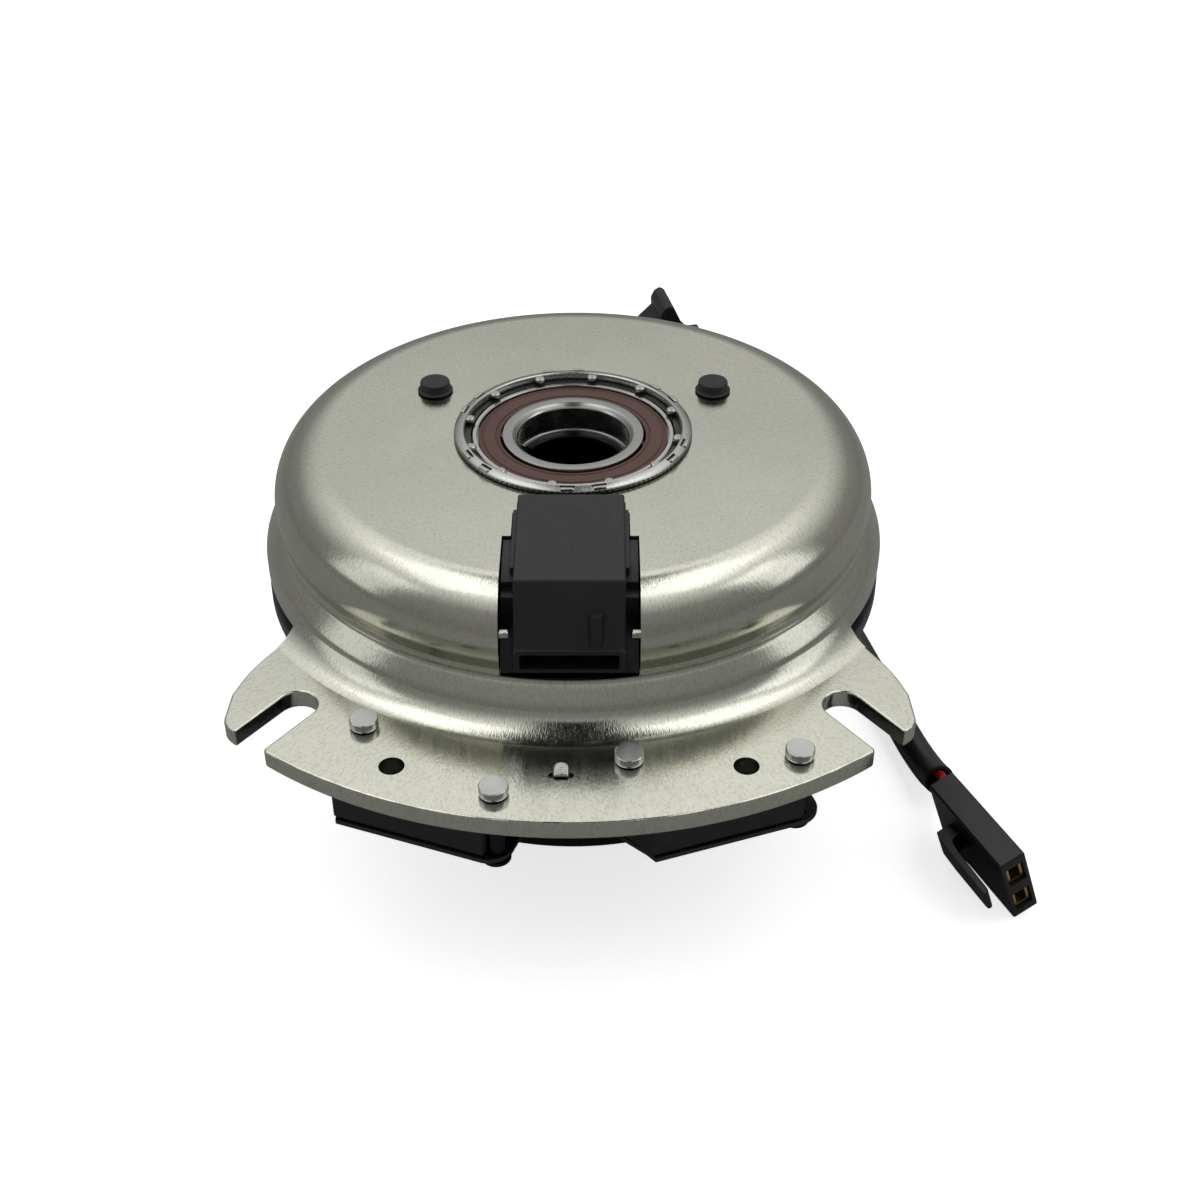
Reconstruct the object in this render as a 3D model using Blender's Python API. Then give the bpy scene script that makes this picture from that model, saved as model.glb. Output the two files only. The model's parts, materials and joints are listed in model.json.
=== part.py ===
"""Electric PTO clutch, seen as it stands on its belt pulley with the coil housing on top.

Metres, +Z up. The crankshaft axis is the Z axis, the floor is Z = 0, and the connector and the
flange with its two open slots look towards -Y. Heights that belong to the coil housing, rotor
and brakes are measured from the top face of the flange, FLANGE_TOP.
"""

import math

import bmesh
import bpy
from mathutils import Matrix, Vector

MM = 0.001

# Clearances
GAP = 0.3 * MM                  # between two pieces that touch or are pressed together
AIR_GAP = 0.6 * MM              # rotor to armature with the coil off
RUNNING_GAP = 0.5 * MM          # beside a piece that spins
CUT_MARGIN = 2 * MM             # how far a cutter runs past what it cuts

# Coil housing
FLANGE_TOP = 56 * MM            # height of the flange's top face over the floor
FLANGE_THICKNESS = 5 * MM
FLANGE_REACH = 33.7 * MM        # from the bead to the flange's edge
FLANGE_BORE_STEP = 0.6 * MM     # how far the flange's bore is smaller than the bead
FLANGE_FILLET = 6 * MM
SHELL_HEIGHT = 32 * MM          # flange top to dome top
SHELL_WALL = 4 * MM
DOME_RADIUS = 81.4 * MM
DOME_SHOULDER = 14 * MM
BEAD_STANDOFF = 3.8 * MM        # bead past the dome's side
BEAD_RADIUS = DOME_RADIUS + BEAD_STANDOFF
BEAD_TOP = 10 * MM
BEAD_STEP = 5.2 * MM
BEAD_WALL = 3.6 * MM
WAIST_DEPTH = 1.1 * MM          # groove between the dome's side and the bead
WAIST_HEIGHT = 3.4 * MM
RIM_BOTTOM = -0.8 * MM
FLANGE_RADIUS = BEAD_RADIUS + FLANGE_REACH
FLANGE_INNER_RADIUS = BEAD_RADIUS - FLANGE_BORE_STEP

# Flange outline, right half: distances past the bead, and directions in degrees from +X
SLOT_WIDTH = 10.2 * MM
SLOT_STANDOFF = 17 * MM
SLOT_ANGLE = 41.2               # place of the slot's round end, degrees either side of -Y
SLOT_TURN = 36                  # direction in which the slot runs out, degrees either side of -Y
SLOT_STEPS = 8
ARM_SIDE = [
    (-10.2 * MM, -36.87), (0.5 * MM, -33.45), (13.1 * MM, -36.9), (19.8 * MM, -38.85), (25.8 * MM, -40.9),
]
ARM_CORNER_ANGLE = 45.2
ARM_CORNER_ROUND = 5 * MM
HOLE_RADIUS = 3.1 * MM
HOLE_STANDOFF = 22.6 * MM
HOLE_ANGLE = 22.8

# Bearings, standard sizes: 30 x 55 x 13 in the housing, 35 x 62 x 14 in the pulley
TOP_BORE, TOP_OUTSIDE, TOP_WIDTH = 30 * MM, 55 * MM, 13 * MM
LOW_BORE, LOW_OUTSIDE, LOW_WIDTH = 35 * MM, 62 * MM, 14 * MM
RING_WALL = 4.2 * MM
OUTER_WALL = 3.0 * MM
SEAL_THICKNESS = 0.8 * MM
SEAL_DEPTH = 0.5 * MM
BALL_COUNT = 9
RING_CHAMFER = 0.8 * MM
INNER_RING_CHAMFER = 1.2 * MM
SEAL_STEP = 1.5 * MM
RACEWAY_HALF = 3 * MM
RACEWAY_DEPTH = 1.3 * MM
CAGE_HALF = 0.9 * MM
TOP_BEARING_SINK = 0.1 * MM      # below the dome's top
TOP_BEARING_TOP = SHELL_HEIGHT - TOP_BEARING_SINK
LOW_BEARING_TOP = -24 * MM

# Bearing seat and its lock ring
SEAT_WALL = 2.4 * MM
POLE_RADIUS = 36 * MM
POLE_BORE = 24 * MM
POLE_BOTTOM = 5 * MM
LOCK_RING_OUTER = 32.2 * MM
LOCK_RING_INNER = 28.0 * MM
LOCK_RING_THICKNESS = 1.8 * MM
LOCK_RING_EDGE = 0.4 * MM
TAB_COUNT = 6
TAB_START = -84.3               # direction of the front tab's middle
TAB_ANGLE = 7.7                 # from a tab's middle to the slot at each end of it
TAB_SLOT_LENGTH = 3.0 * MM
TAB_SLOT_WIDTH = 1.2 * MM
TAB_SLOT_INSET = 0.7 * MM
TAB_SLOT_DEPTH = 1.2 * MM

# Coil
COIL_SIDE_GAP = 28.9 * MM       # room for the socket between the coil and the dome's side
COIL_OUTER = DOME_RADIUS - COIL_SIDE_GAP
COIL_TOP_GAP = 1.5 * MM
COIL_TOP = SHELL_HEIGHT - SHELL_WALL - COIL_TOP_GAP
BOBBIN_WALL = 1.5 * MM
BOBBIN_LIFT = 0.5 * MM
WINDING_INSET = 1.2 * MM
COIL_LEAD_RADIUS = 0.9 * MM
COIL_LEAD_RISE = 6 * MM
COIL_LEAD_BEND = 1.5 * MM

# Connector on the shoulder
HOOD_WIDTH = 27 * MM
HOOD_BACK = -36.2 * MM
HOOD_FOLD = (10.6 * MM - DOME_RADIUS, SHELL_HEIGHT + 1.2 * MM)
HOOD_FOOT = (2.1 * MM - DOME_RADIUS, SHELL_HEIGHT - 14 * MM)
HOOD_BACK_HEIGHT = SHELL_HEIGHT + 2.6 * MM
HOUSING_BOTTOM = BEAD_TOP - 0.2 * MM
HOUSING_FRONT = 1.2 * MM - DOME_RADIUS
HOOD_EDGE = 1 * MM
HOUSING_BACK_WALL = 2 * MM
RAIL_WIDTH = 33.4 * MM
RAIL_BACK = -46 * MM
RAIL_HEIGHT = SHELL_HEIGHT - 0.6 * MM
RAIL_TOP_FRONT = 15.4 * MM - DOME_RADIUS
RAIL_SHOULDER = (6.9 * MM - DOME_RADIUS, SHELL_HEIGHT - 5 * MM)
RAIL_TOE = (2.4 * MM - DOME_RADIUS, HOUSING_BOTTOM + 6.2 * MM)
RAIL_INSET = 0.8 * MM
SOCKET_WIDTH = 24 * MM
SOCKET_HEIGHT = 6.6 * MM
SOCKET_FLOOR = 1.4 * MM
SOCKET_BOTTOM = HOUSING_BOTTOM + SOCKET_FLOOR
SOCKET_DEPTH = 22 * MM
LATCH_RIB_X = 6.4 * MM
LATCH_RIB_WIDTH = 3.4 * MM
LATCH_RIB_TOP = SHELL_HEIGHT - 6 * MM
LATCH_RIB_INSET = 0.4 * MM
LATCH_RIB_ROOT = 2 * MM
TERMINAL_SPACING = 10.4 * MM
TERMINAL_WIDTH = 6.3 * MM
TERMINAL_THICKNESS = 0.8 * MM
TERMINAL_REACH = 15 * MM
TERMINAL_TAIL = 2.4 * MM

# Rubber vent plugs
PLUG_CIRCLE = 45 * MM
PLUG_ANGLE = 30
PLUG_BASE = 4.9 * MM
PLUG_TOP = 4.2 * MM
PLUG_HEIGHT = 3.0 * MM
PLUG_STEM = 3.0 * MM
PLUG_STEM_REACH = 0.6 * MM
PLUG_BASE_HEIGHT = 0.5 * MM
PLUG_EDGE = 0.3 * MM

# Hub, rotor and armature
HUB_BORE = 25.4 * MM
HUB_CHAMFER = 1.5 * MM
HUB_TOP_SINK = 8 * MM           # below the bearing's top face
HUB_TOP = TOP_BEARING_TOP - HUB_TOP_SINK
HUB_BOTTOM = -50 * MM
HUB_SHOULDER = 18.4 * MM
HUB_BODY = 22 * MM
HUB_FLANGE = 28 * MM
HUB_FLANGE_THICKNESS = 2.7 * MM
HUB_TAPER = 3 * MM
HUB_STEP = 3 * MM
HUB_EDGE = 1 * MM
HUB_SHOULDER_RISE = 4 * MM
KEYWAY_WIDTH = 6.35 * MM
KEYWAY_RADIUS = 15.9 * MM
KEYWAY_ANGLE = 168
ROTOR_CLEARANCE = 1.1 * MM      # between the rotor's rim and the flange's bore
ROTOR_RADIUS = FLANGE_INNER_RADIUS - ROTOR_CLEARANCE
ROTOR_TOP = 3 * MM
ROTOR_BOTTOM = -5.4 * MM
ROTOR_RIM = 5.5 * MM
ROTOR_INNER_RADIUS = ROTOR_RADIUS - ROTOR_RIM
ROTOR_SLOT_COUNT = 6
ROTOR_SLOT_CIRCLE = 60 * MM
ROTOR_SLOT_WIDTH = 4 * MM
ROTOR_SLOT_SPAN = 44
ROTOR_RIM_DROP = 0.8 * MM
ARMATURE_RADIUS = BEAD_RADIUS
ARMATURE_THICKNESS = 4 * MM
ARMATURE_BORE = 40 * MM
ARMATURE_RELIEF = 1 * MM
DRIVE_CIRCLE = 54 * MM
DRIVE_RIVET_INSET = 0.4 * MM

# Pulley
PULLEY_TOP = -13.6 * MM
PULLEY_RADIUS = 70 * MM
PULLEY_BODY = 60 * MM
PULLEY_PLATE = 66 * MM
PULLEY_PLATE_EDGE = 4 * MM
PULLEY_SLOPE = 3 * MM
PULLEY_BODY_SLOPE = 2 * MM
PULLEY_LIP = 3 * MM
PULLEY_WALL = 6 * MM
PULLEY_EDGE = 1 * MM
PULLEY_FOOT = 5 * MM
PULLEY_CAVITY_FLARE = 8 * MM
PULLEY_RIVET_DEPTH = 3.5 * MM
GROOVE_CENTRE = 14.5 * MM       # height of the belt groove over the floor
GROOVE_ROOT = 57.5 * MM
GROOVE_ROOT_WIDTH = 4 * MM
GROOVE_MOUTH = 16 * MM
PULLEY_FLANGE = 3 * MM
PULLEY_HUB_WALL = 5.2 * MM
SNAP_THICKNESS = 1.6 * MM
SNAP_DEPTH = 1.2 * MM
SNAP_WIDTH = 2.6 * MM
SNAP_MOUTH = 6 * MM
SNAP_LAND = 2.5 * MM
HUB_SNAP_ANGLE = 60
PULLEY_SNAP_ANGLE = 200

# Leaf springs
SPRING_COUNT = 3
SPRING_LENGTH = 44 * MM
SPRING_WIDTH = 12 * MM
SPRING_THICKNESS = 0.8 * MM
DRIVE_RIVET_RADIUS = 2.5 * MM
DRIVE_HEAD_RADIUS = 4.0 * MM
DRIVE_HEAD = 0.8 * MM

# Brakes
BRAKE_ANGLES = {"left": -110.4, "right": -70.3}
BRAKE_CLEARANCE = 1.8 * MM
BRAKE_INNER = ROTOR_RADIUS + BRAKE_CLEARANCE
BRAKE_STANDOFF = 26.8 * MM      # from the bead to the box's front face
BRAKE_FRONT = BEAD_RADIUS + BRAKE_STANDOFF
BRAKE_LEFT_REACH = 11.25        # degrees from a brake's middle to the box's end, at the rivets
BRAKE_RIGHT_REACH = 10.45
BRAKE_BOX_HEIGHT = 12 * MM
BRAKE_PLATE_THICKNESS = 1.4 * MM
BRAKE_LIP = 0.6 * MM
BRAKE_SIDE_LEFT = 6 * MM        # how far the box's sides stand out past its front corners
BRAKE_SIDE_RIGHT = 4 * MM
BRAKE_CORNER = 13 * MM
BRAKE_SETBACK = 3 * MM
PAD_RIM = 1 * MM                # rotor's rim past the linings, and the linings past their plate
PAD_RADIAL = 7.5 * MM
PAD_OUTER_RADIUS = ROTOR_RADIUS - PAD_RIM
PAD_INNER = PAD_OUTER_RADIUS - PAD_RADIAL
BRAKE_PLATE_INNER = PAD_INNER - PAD_RIM
BRAKE_PLATE_BACK = 20 * MM
BRAKE_NOSE = 6 * MM
BRAKE_NOSE_SHIFT = 0.5 * MM
PAD_HALF_LENGTH = 14 * MM
PAD_SIDE = 4 * MM
BRAKE_HALF_SPAN = 20            # degrees round a brake's middle that hold its own rivets
NEAR_RIVETS = BEAD_RADIUS + 13.2 * MM
FAR_RIVETS = BEAD_RADIUS + 25.1 * MM
RIVET_PLACES = [(NEAR_RIVETS, -120.4), (FAR_RIVETS, -99.0), (NEAR_RIVETS, -81.7), (FAR_RIVETS, -60.3)]
BRAKE_LEFT_END = -NEAR_RIVETS * math.sin(math.radians(BRAKE_LEFT_REACH))
BRAKE_RIGHT_END = FAR_RIVETS * math.sin(math.radians(BRAKE_RIGHT_REACH))
RIVET_SHANK = 2.4 * MM
RIVET_HEAD = 3.55 * MM
RIVET_HEAD_HEIGHT = 2.7 * MM
RIVET_FOOT_HEIGHT = 1.2 * MM
RIVET_EDGE = 0.3 * MM

# Loose lead that belongs to the clutch, as it lies on the floor
SLEEVE_DIAMETER = 8.5 * MM
SLEEVE_ROUTE = [
    (42.5, 203.0, 5.8), (44.3, 194.5, 5.8), (46.7, 184.5, 5.2), (49.0, 175.0, 4.7),
    (53.4, 157.0, 4.6), (57.6, 138.0, 4.6), (61.9, 119.0, 4.6), (66.1, 100.0, 4.6),
    (70.4, 81.0, 4.6), (74.6, 62.0, 4.6), (78.9, 43.0, 4.6), (83.1, 24.0, 4.6),
    (87.4, 5.0, 4.6), (91.6, -14.0, 4.6), (95.8, -33.0, 4.9), (98.6, -45.0, 6.4),
    (100.2, -52.0, 8.6),
]
WIRE_DIAMETER = 2.6 * MM
WIRE_SPACING = 3.0 * MM
LEAD_PLUG_LENGTH = 33 * MM
LEAD_PLUG_WIDTH = 7.4 * MM
LEAD_PLUG_HEIGHT = 22.5 * MM
LEAD_PLUG_LEAN = 20
LEAD_PLUG_YAW = 23.5
LEAD_PLUG_NOSE = (116.6 * MM, -94.0 * MM)
LATCH_STANDOFF = 3.6 * MM
LATCH_THICKNESS = 2.0 * MM
LATCH_WIDTH = 7.0 * MM
LATCH_FRONT = 1.0 * MM
LATCH_BACK = 8.0 * MM
LATCH_BRIDGE = 5.0 * MM
PLUG_WALL = 1.2 * MM
WAY_LEVELS = {"lower": 0.27, "upper": 0.73}
WAY_HEIGHT = 6.8 * MM
WAY_DEPTH = 14 * MM
RECEPTACLE_WALL = 0.7 * MM
RECEPTACLE_INSET = 1 * MM
WIRE_LEVEL = 0.13
WIRE_STUB = 2.5 * MM
REAR_PLUG_YAW = 12
REAR_COLLAR_LEFT = -11.5 * MM
REAR_COLLAR_RIGHT = 5.5 * MM
REAR_COLLAR_LENGTH = 9 * MM
REAR_COLLAR_HEIGHT = 11 * MM
REAR_BODY_START = 4 * MM
REAR_BODY_END = 22 * MM
REAR_BODY = [
    (-18 * MM, 0.0), (4.6 * MM, 0.0), (4.6 * MM, 3.6 * MM), (1.4 * MM, 6.8 * MM), (-5.4 * MM, 21.2 * MM),
    (-7.2 * MM, 22.2 * MM), (-9.4 * MM, 21 * MM), (-10.7 * MM, 18.2 * MM), (-10.5 * MM, 15.2 * MM),
    (-17.6 * MM, 8.6 * MM), (-18 * MM, 7.8 * MM),
]
REAR_MOUTH_LEFT = -15 * MM
REAR_MOUTH_RIGHT = 0.0
REAR_MOUTH_DEPTH = 10 * MM
REAR_MOUTH_LOW = 1.5 * MM
REAR_MOUTH_HIGH = 7 * MM

# Facets round a full circle
FINE = 48
MEDIUM = 30
COARSE = 16
TINY = 12
SHARP_ANGLE = 30                # degrees between faces that keep a crisp edge

MATERIALS = {
    "zinc_steel": ((0.56, 0.56, 0.50), 0.34, 1.0),
    "bright_steel": ((0.62, 0.62, 0.61), 0.24, 1.0),
    "dark_steel": ((0.10, 0.10, 0.10), 0.45, 1.0),
    "rivet_steel": ((0.66, 0.66, 0.66), 0.30, 1.0),
    "spring_steel": ((0.35, 0.36, 0.38), 0.35, 1.0),
    "copper": ((0.72, 0.32, 0.16), 0.35, 1.0),
    "brass": ((0.72, 0.55, 0.25), 0.35, 1.0),
    "black_plastic": ((0.025, 0.025, 0.027), 0.55, 0.0),
    "bobbin_plastic": ((0.55, 0.52, 0.42), 0.60, 0.0),
    "black_paint": ((0.015, 0.015, 0.016), 0.38, 0.0),
    "black_rubber": ((0.02, 0.02, 0.021), 0.70, 0.0),
    "brown_rubber": ((0.15, 0.045, 0.03), 0.60, 0.0),
    "friction": ((0.08, 0.07, 0.06), 0.90, 0.0),
    "red_wire": ((0.45, 0.01, 0.01), 0.45, 0.0),
}


def clear_scene():
    """Start from an empty scene."""
    for item in list(bpy.data.objects):
        bpy.data.objects.remove(item, do_unlink=True)


def material(name):
    """The named Principled material, made when it is first asked for."""
    found = bpy.data.materials.get(name)
    if found:
        return found
    colour, roughness, metallic = MATERIALS[name]
    made = bpy.data.materials.new(name)
    made.use_nodes = True
    shader = made.node_tree.nodes["Principled BSDF"]
    shader.inputs["Base Color"].default_value = (*colour, 1.0)
    shader.inputs["Roughness"].default_value = roughness
    shader.inputs["Metallic"].default_value = metallic
    return made


def new_object(name, mesh_data, finish=None, smooth=True):
    """Link a bmesh as an object with outward faces and its finish."""
    bmesh.ops.recalc_face_normals(mesh_data, faces=mesh_data.faces)
    mesh = bpy.data.meshes.new(name)
    mesh_data.to_mesh(mesh)
    mesh_data.free()
    item = bpy.data.objects.new(name, mesh)
    bpy.context.scene.collection.objects.link(item)
    if finish:
        mesh.materials.append(material(finish))
    if smooth:
        mesh.shade_smooth()
        mesh.set_sharp_from_angle(angle=math.radians(SHARP_ANGLE))
    return item


def turned(name, profile, finish=None, segments=MEDIUM, centre=(0.0, 0.0)):
    """Spin a closed profile of (radius, height) points about an upright axis at centre."""
    data = bmesh.new()
    rings = []
    for radius, height in profile:
        if radius < 1e-6:
            rings.append([data.verts.new((0.0, 0.0, height))])
            continue
        ring = []
        for step in range(segments):
            angle = 2 * math.pi * step / segments
            ring.append(data.verts.new((radius * math.cos(angle), radius * math.sin(angle), height)))
        rings.append(ring)
    for first, second in zip(rings, rings[1:] + rings[:1]):
        if len(first) == 1 and len(second) == 1:
            continue
        for step in range(segments):
            after = (step + 1) % segments
            corners = [first[step % len(first)], first[after % len(first)]]
            corners += [second[after % len(second)], second[step % len(second)]]
            unique = list(dict.fromkeys(corners))
            data.faces.new(unique)
    item = new_object(name, data, finish)
    item.location = (*centre, 0.0)
    return item


def extruded(name, outline, bottom, top, finish=None, smooth=False):
    """A straight prism over a flat outline of (x, y) points."""
    data = bmesh.new()
    low = [data.verts.new((x, y, bottom)) for x, y in outline]
    high = [data.verts.new((x, y, top)) for x, y in outline]
    data.faces.new(low)
    data.faces.new(high)
    for index in range(len(outline)):
        after = (index + 1) % len(outline)
        data.faces.new((low[index], low[after], high[after], high[index]))
    return new_object(name, data, finish, smooth)


def side_extruded(name, outline, left, right, finish=None):
    """A prism along X over an outline of (y, z) points."""
    data = bmesh.new()
    near = [data.verts.new((left, y, z)) for y, z in outline]
    far = [data.verts.new((right, y, z)) for y, z in outline]
    data.faces.new(near)
    data.faces.new(far)
    for index in range(len(outline)):
        after = (index + 1) % len(outline)
        data.faces.new((near[index], near[after], far[after], far[index]))
    return new_object(name, data, finish, smooth=False)


def front_extruded(name, outline, near, far, finish=None):
    """A prism along Y over an outline of (x, z) points."""
    data = bmesh.new()
    front = [data.verts.new((x, near, z)) for x, z in outline]
    back = [data.verts.new((x, far, z)) for x, z in outline]
    data.faces.new(front)
    data.faces.new(back)
    for index in range(len(outline)):
        after = (index + 1) % len(outline)
        data.faces.new((front[index], front[after], back[after], back[index]))
    return new_object(name, data, finish, smooth=False)


def block(name, low, high, finish=None):
    """A box between two corners."""
    outline = [(low[0], low[1]), (high[0], low[1]), (high[0], high[1]), (low[0], high[1])]
    return extruded(name, outline, low[2], high[2], finish)


def rod(name, radius, bottom, top, centre, finish=None, segments=COARSE):
    """A plain upright cylinder."""
    profile = [(0, bottom), (radius, bottom), (radius, top), (0, top)]
    return turned(name, profile, finish, segments, centre)


def tube(name, points, diameter, finish, sides=12):
    """A round solid that follows a list of points, as a filled curve."""
    curve = bpy.data.curves.new(name, "CURVE")
    curve.dimensions = "3D"
    curve.bevel_depth = diameter / 2
    curve.bevel_resolution = max(0, sides // 4 - 1)
    curve.use_fill_caps = True
    spline = curve.splines.new("POLY")
    spline.points.add(len(points) - 1)
    for point, place in zip(spline.points, points):
        point.co = (*place, 1.0)
    curve.materials.append(material(finish))
    item = bpy.data.objects.new(name, curve)
    bpy.context.scene.collection.objects.link(item)
    return item


def bake(item):
    """Apply an object's modifiers to its mesh."""
    graph = bpy.context.evaluated_depsgraph_get()
    mesh = bpy.data.meshes.new_from_object(item.evaluated_get(graph))
    item.modifiers.clear()
    item.data = mesh


def combine(target, others, operation):
    """Join, cut or intersect target with each of the others, which are used up."""
    for other in others:
        modifier = target.modifiers.new(operation.lower(), "BOOLEAN")
        modifier.operation = operation
        modifier.solver = "EXACT"
        modifier.object = other
        bake(target)
        bpy.data.objects.remove(other, do_unlink=True)
    for polygon in target.data.polygons:
        polygon.material_index = 0
    return target


def cut(target, *cutters):
    return combine(target, cutters, "DIFFERENCE")


def join(target, *others):
    return combine(target, others, "UNION")


def shade(item):
    """Smooth the round faces of a cut piece and keep its edges crisp."""
    item.data.shade_smooth()
    item.data.set_sharp_from_angle(angle=math.radians(SHARP_ANGLE))
    return item


def polar(radius, degrees):
    angle = math.radians(degrees)
    return (radius * math.cos(angle), radius * math.sin(angle))


def arc(radius, start, end, steps, centre=(0.0, 0.0)):
    """Points on an arc, from start to end in degrees, both ends among them."""
    points = []
    for step in range(steps + 1):
        x, y = polar(radius, start + (end - start) * step / steps)
        points.append((centre[0] + x, centre[1] + y))
    return points


def raised(profile, height):
    """Move a profile of (radius, height) points up."""
    return [(radius, z + height) for radius, z in profile]


def turn_about_axis(item, degrees):
    """Turn a piece about the crankshaft axis."""
    item.rotation_euler.z = math.radians(degrees)
    return item


def carry(name, pieces):
    """Parent the pieces of one moving body to an empty on the crankshaft axis."""
    carrier = bpy.data.objects.new(name, None)
    bpy.context.scene.collection.objects.link(carrier)
    for piece in pieces:
        piece.parent = carrier


# Coil housing

def shell_profile():
    """Section of the drawn housing: dome, step, bead and the inside of the wall."""
    flat = DOME_RADIUS - DOME_SHOULDER
    level = SHELL_HEIGHT - DOME_SHOULDER
    hole = seat_neck_radius() + GAP
    inner_shoulder = DOME_SHOULDER - SHELL_WALL
    inner_wall = DOME_RADIUS - SHELL_WALL
    bead_inner = BEAD_RADIUS - BEAD_WALL
    waist_end = DOME_RADIUS - WAIST_DEPTH / 4
    outside = [(hole, SHELL_HEIGHT)]
    outside += arc(DOME_SHOULDER, 90, 0, 6, (flat, level))
    outside += [
        (DOME_RADIUS - WAIST_DEPTH * 0.7, BEAD_TOP + WAIST_HEIGHT),
        (DOME_RADIUS - WAIST_DEPTH, BEAD_TOP + WAIST_HEIGHT / 2),
        (waist_end, BEAD_TOP),
    ]
    reach = BEAD_RADIUS - waist_end
    for step in range(1, 4):
        angle = math.radians(90 * step / 3)
        x = BEAD_RADIUS - reach + reach * math.sin(angle)
        outside.append((x, BEAD_STEP + (BEAD_TOP - BEAD_STEP) * math.cos(angle)))
    outside.append((BEAD_RADIUS, RIM_BOTTOM))
    inside = [
        (bead_inner, RIM_BOTTOM),
        (bead_inner, BEAD_STEP),
        (inner_wall, BEAD_TOP),
    ]
    inside += arc(inner_shoulder, 0, 90, 3, (flat, level))
    inside.append((hole, SHELL_HEIGHT - SHELL_WALL))
    return outside + inside


def slot_frame():
    """Middle of the right slot's round end, the way the slot runs out, and the way across it."""
    centre = Vector(polar(BEAD_RADIUS + SLOT_STANDOFF, -90 + SLOT_ANGLE))
    outward = Vector(polar(1.0, -90 + SLOT_TURN))
    return centre, outward, Vector((-outward.y, outward.x))


def slot_corner(side):
    """Where a straight side of the right slot meets the flange's edge."""
    centre, outward, across = slot_frame()
    start = centre + across * (side * SLOT_WIDTH / 2)
    along = start.dot(outward)
    reach = math.sqrt(along ** 2 - start.length_squared + FLANGE_RADIUS ** 2) - along
    return start + outward * reach


def rounded_corner(before, corner, after, radius, steps=3):
    """Points that round off the corner between two straight edges."""
    corner = Vector(corner)
    first = (Vector(before) - corner).normalized()
    second = (Vector(after) - corner).normalized()
    half = first.angle(second) / 2
    centre = corner + (first + second).normalized() * (radius / math.sin(half))
    reach = radius / math.tan(half)
    start = corner + first * reach - centre
    end = corner + second * reach - centre
    points = []
    for step in range(steps + 1):
        point = centre + start.lerp(end, step / steps).normalized() * radius
        points.append((point.x, point.y))
    return points


def flange_outline():
    """Plan of the flange: two arms, two slots open to the outside, one arc in front."""
    centre, outward, across = slot_frame()
    inner, outer = slot_corner(-1), slot_corner(1)
    half = [polar(BEAD_RADIUS + past, direction) for past, direction in ARM_SIDE]
    tip = polar(FLANGE_RADIUS, -90 + ARM_CORNER_ANGLE)
    half += rounded_corner(half[-1], tip, outer, ARM_CORNER_ROUND)
    half.append((outer.x, outer.y))
    for step in range(SLOT_STEPS + 1):
        angle = math.radians(90 + 180 * step / SLOT_STEPS)
        spoke = across * math.sin(angle) + outward * math.cos(angle)
        point = centre + spoke * (SLOT_WIDTH / 2)
        half.append((point.x, point.y))
    reach = 90 + math.degrees(math.atan2(inner.y, inner.x))
    front = arc(FLANGE_RADIUS, -90 + reach, -90 - reach, 23)
    mirrored = [(-x, y) for x, y in reversed(half)]
    return half + front + mirrored


def field_shell():
    shell = turned("field_shell", raised(shell_profile(), FLANGE_TOP), "zinc_steel", FINE)
    start = BEAD_RADIUS - GAP
    inside_wall = BEAD_RADIUS - BEAD_WALL / 2
    section = [
        (inside_wall, RIM_BOTTOM / 2),
        (FLANGE_INNER_RADIUS, RIM_BOTTOM / 2),
        (FLANGE_INNER_RADIUS, -FLANGE_THICKNESS),
        (FLANGE_RADIUS + CUT_MARGIN, -FLANGE_THICKNESS),
        (FLANGE_RADIUS + CUT_MARGIN, 0.0),
    ]
    section += arc(FLANGE_FILLET, 270, 180, 4, (start + FLANGE_FILLET, FLANGE_FILLET))
    section.append((inside_wall, FLANGE_FILLET))
    flange = turned("flange", raised(section, FLANGE_TOP), "zinc_steel", FINE)
    low = FLANGE_TOP - FLANGE_THICKNESS - CUT_MARGIN
    plan = extruded("plan", flange_outline(), low, FLANGE_TOP + FLANGE_FILLET + CUT_MARGIN)
    combine(flange, [plan], "INTERSECT")
    join(shell, flange)
    cutters = [connector_opening()]
    for side in (-1, 1):
        place = polar(BEAD_RADIUS + HOLE_STANDOFF, -90 + side * HOLE_ANGLE)
        cutters.append(flange_drill("hole", HOLE_RADIUS, place))
        bottom = FLANGE_TOP + SHELL_HEIGHT - SHELL_WALL - CUT_MARGIN
        top = FLANGE_TOP + SHELL_HEIGHT + CUT_MARGIN
        cutters.append(rod("plug_hole", PLUG_STEM + GAP, bottom, top, plug_place(side)))
    for radius, angle in RIVET_PLACES:
        cutters.append(flange_drill("rivet_hole", RIVET_SHANK + GAP, polar(radius, angle)))
    return shade(cut(shell, *cutters))


def flange_drill(name, radius, place):
    low = FLANGE_TOP - FLANGE_THICKNESS - CUT_MARGIN
    return rod(name, radius, low, FLANGE_TOP + CUT_MARGIN, place)


def connector_opening():
    half = RAIL_WIDTH / 2 + GAP
    back = HOOD_BACK + GAP
    front = -FLANGE_RADIUS
    low = FLANGE_TOP + HOUSING_BOTTOM - GAP
    return block("opening", (-half, front, low), (half, back, FLANGE_TOP + SHELL_HEIGHT + CUT_MARGIN))


def plug_place(side):
    x, y = polar(PLUG_CIRCLE, PLUG_ANGLE)
    return (side * x, y)


def seat_bore_radius():
    return TOP_OUTSIDE / 2 + GAP


def seat_neck_radius():
    return seat_bore_radius() + SEAT_WALL


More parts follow.
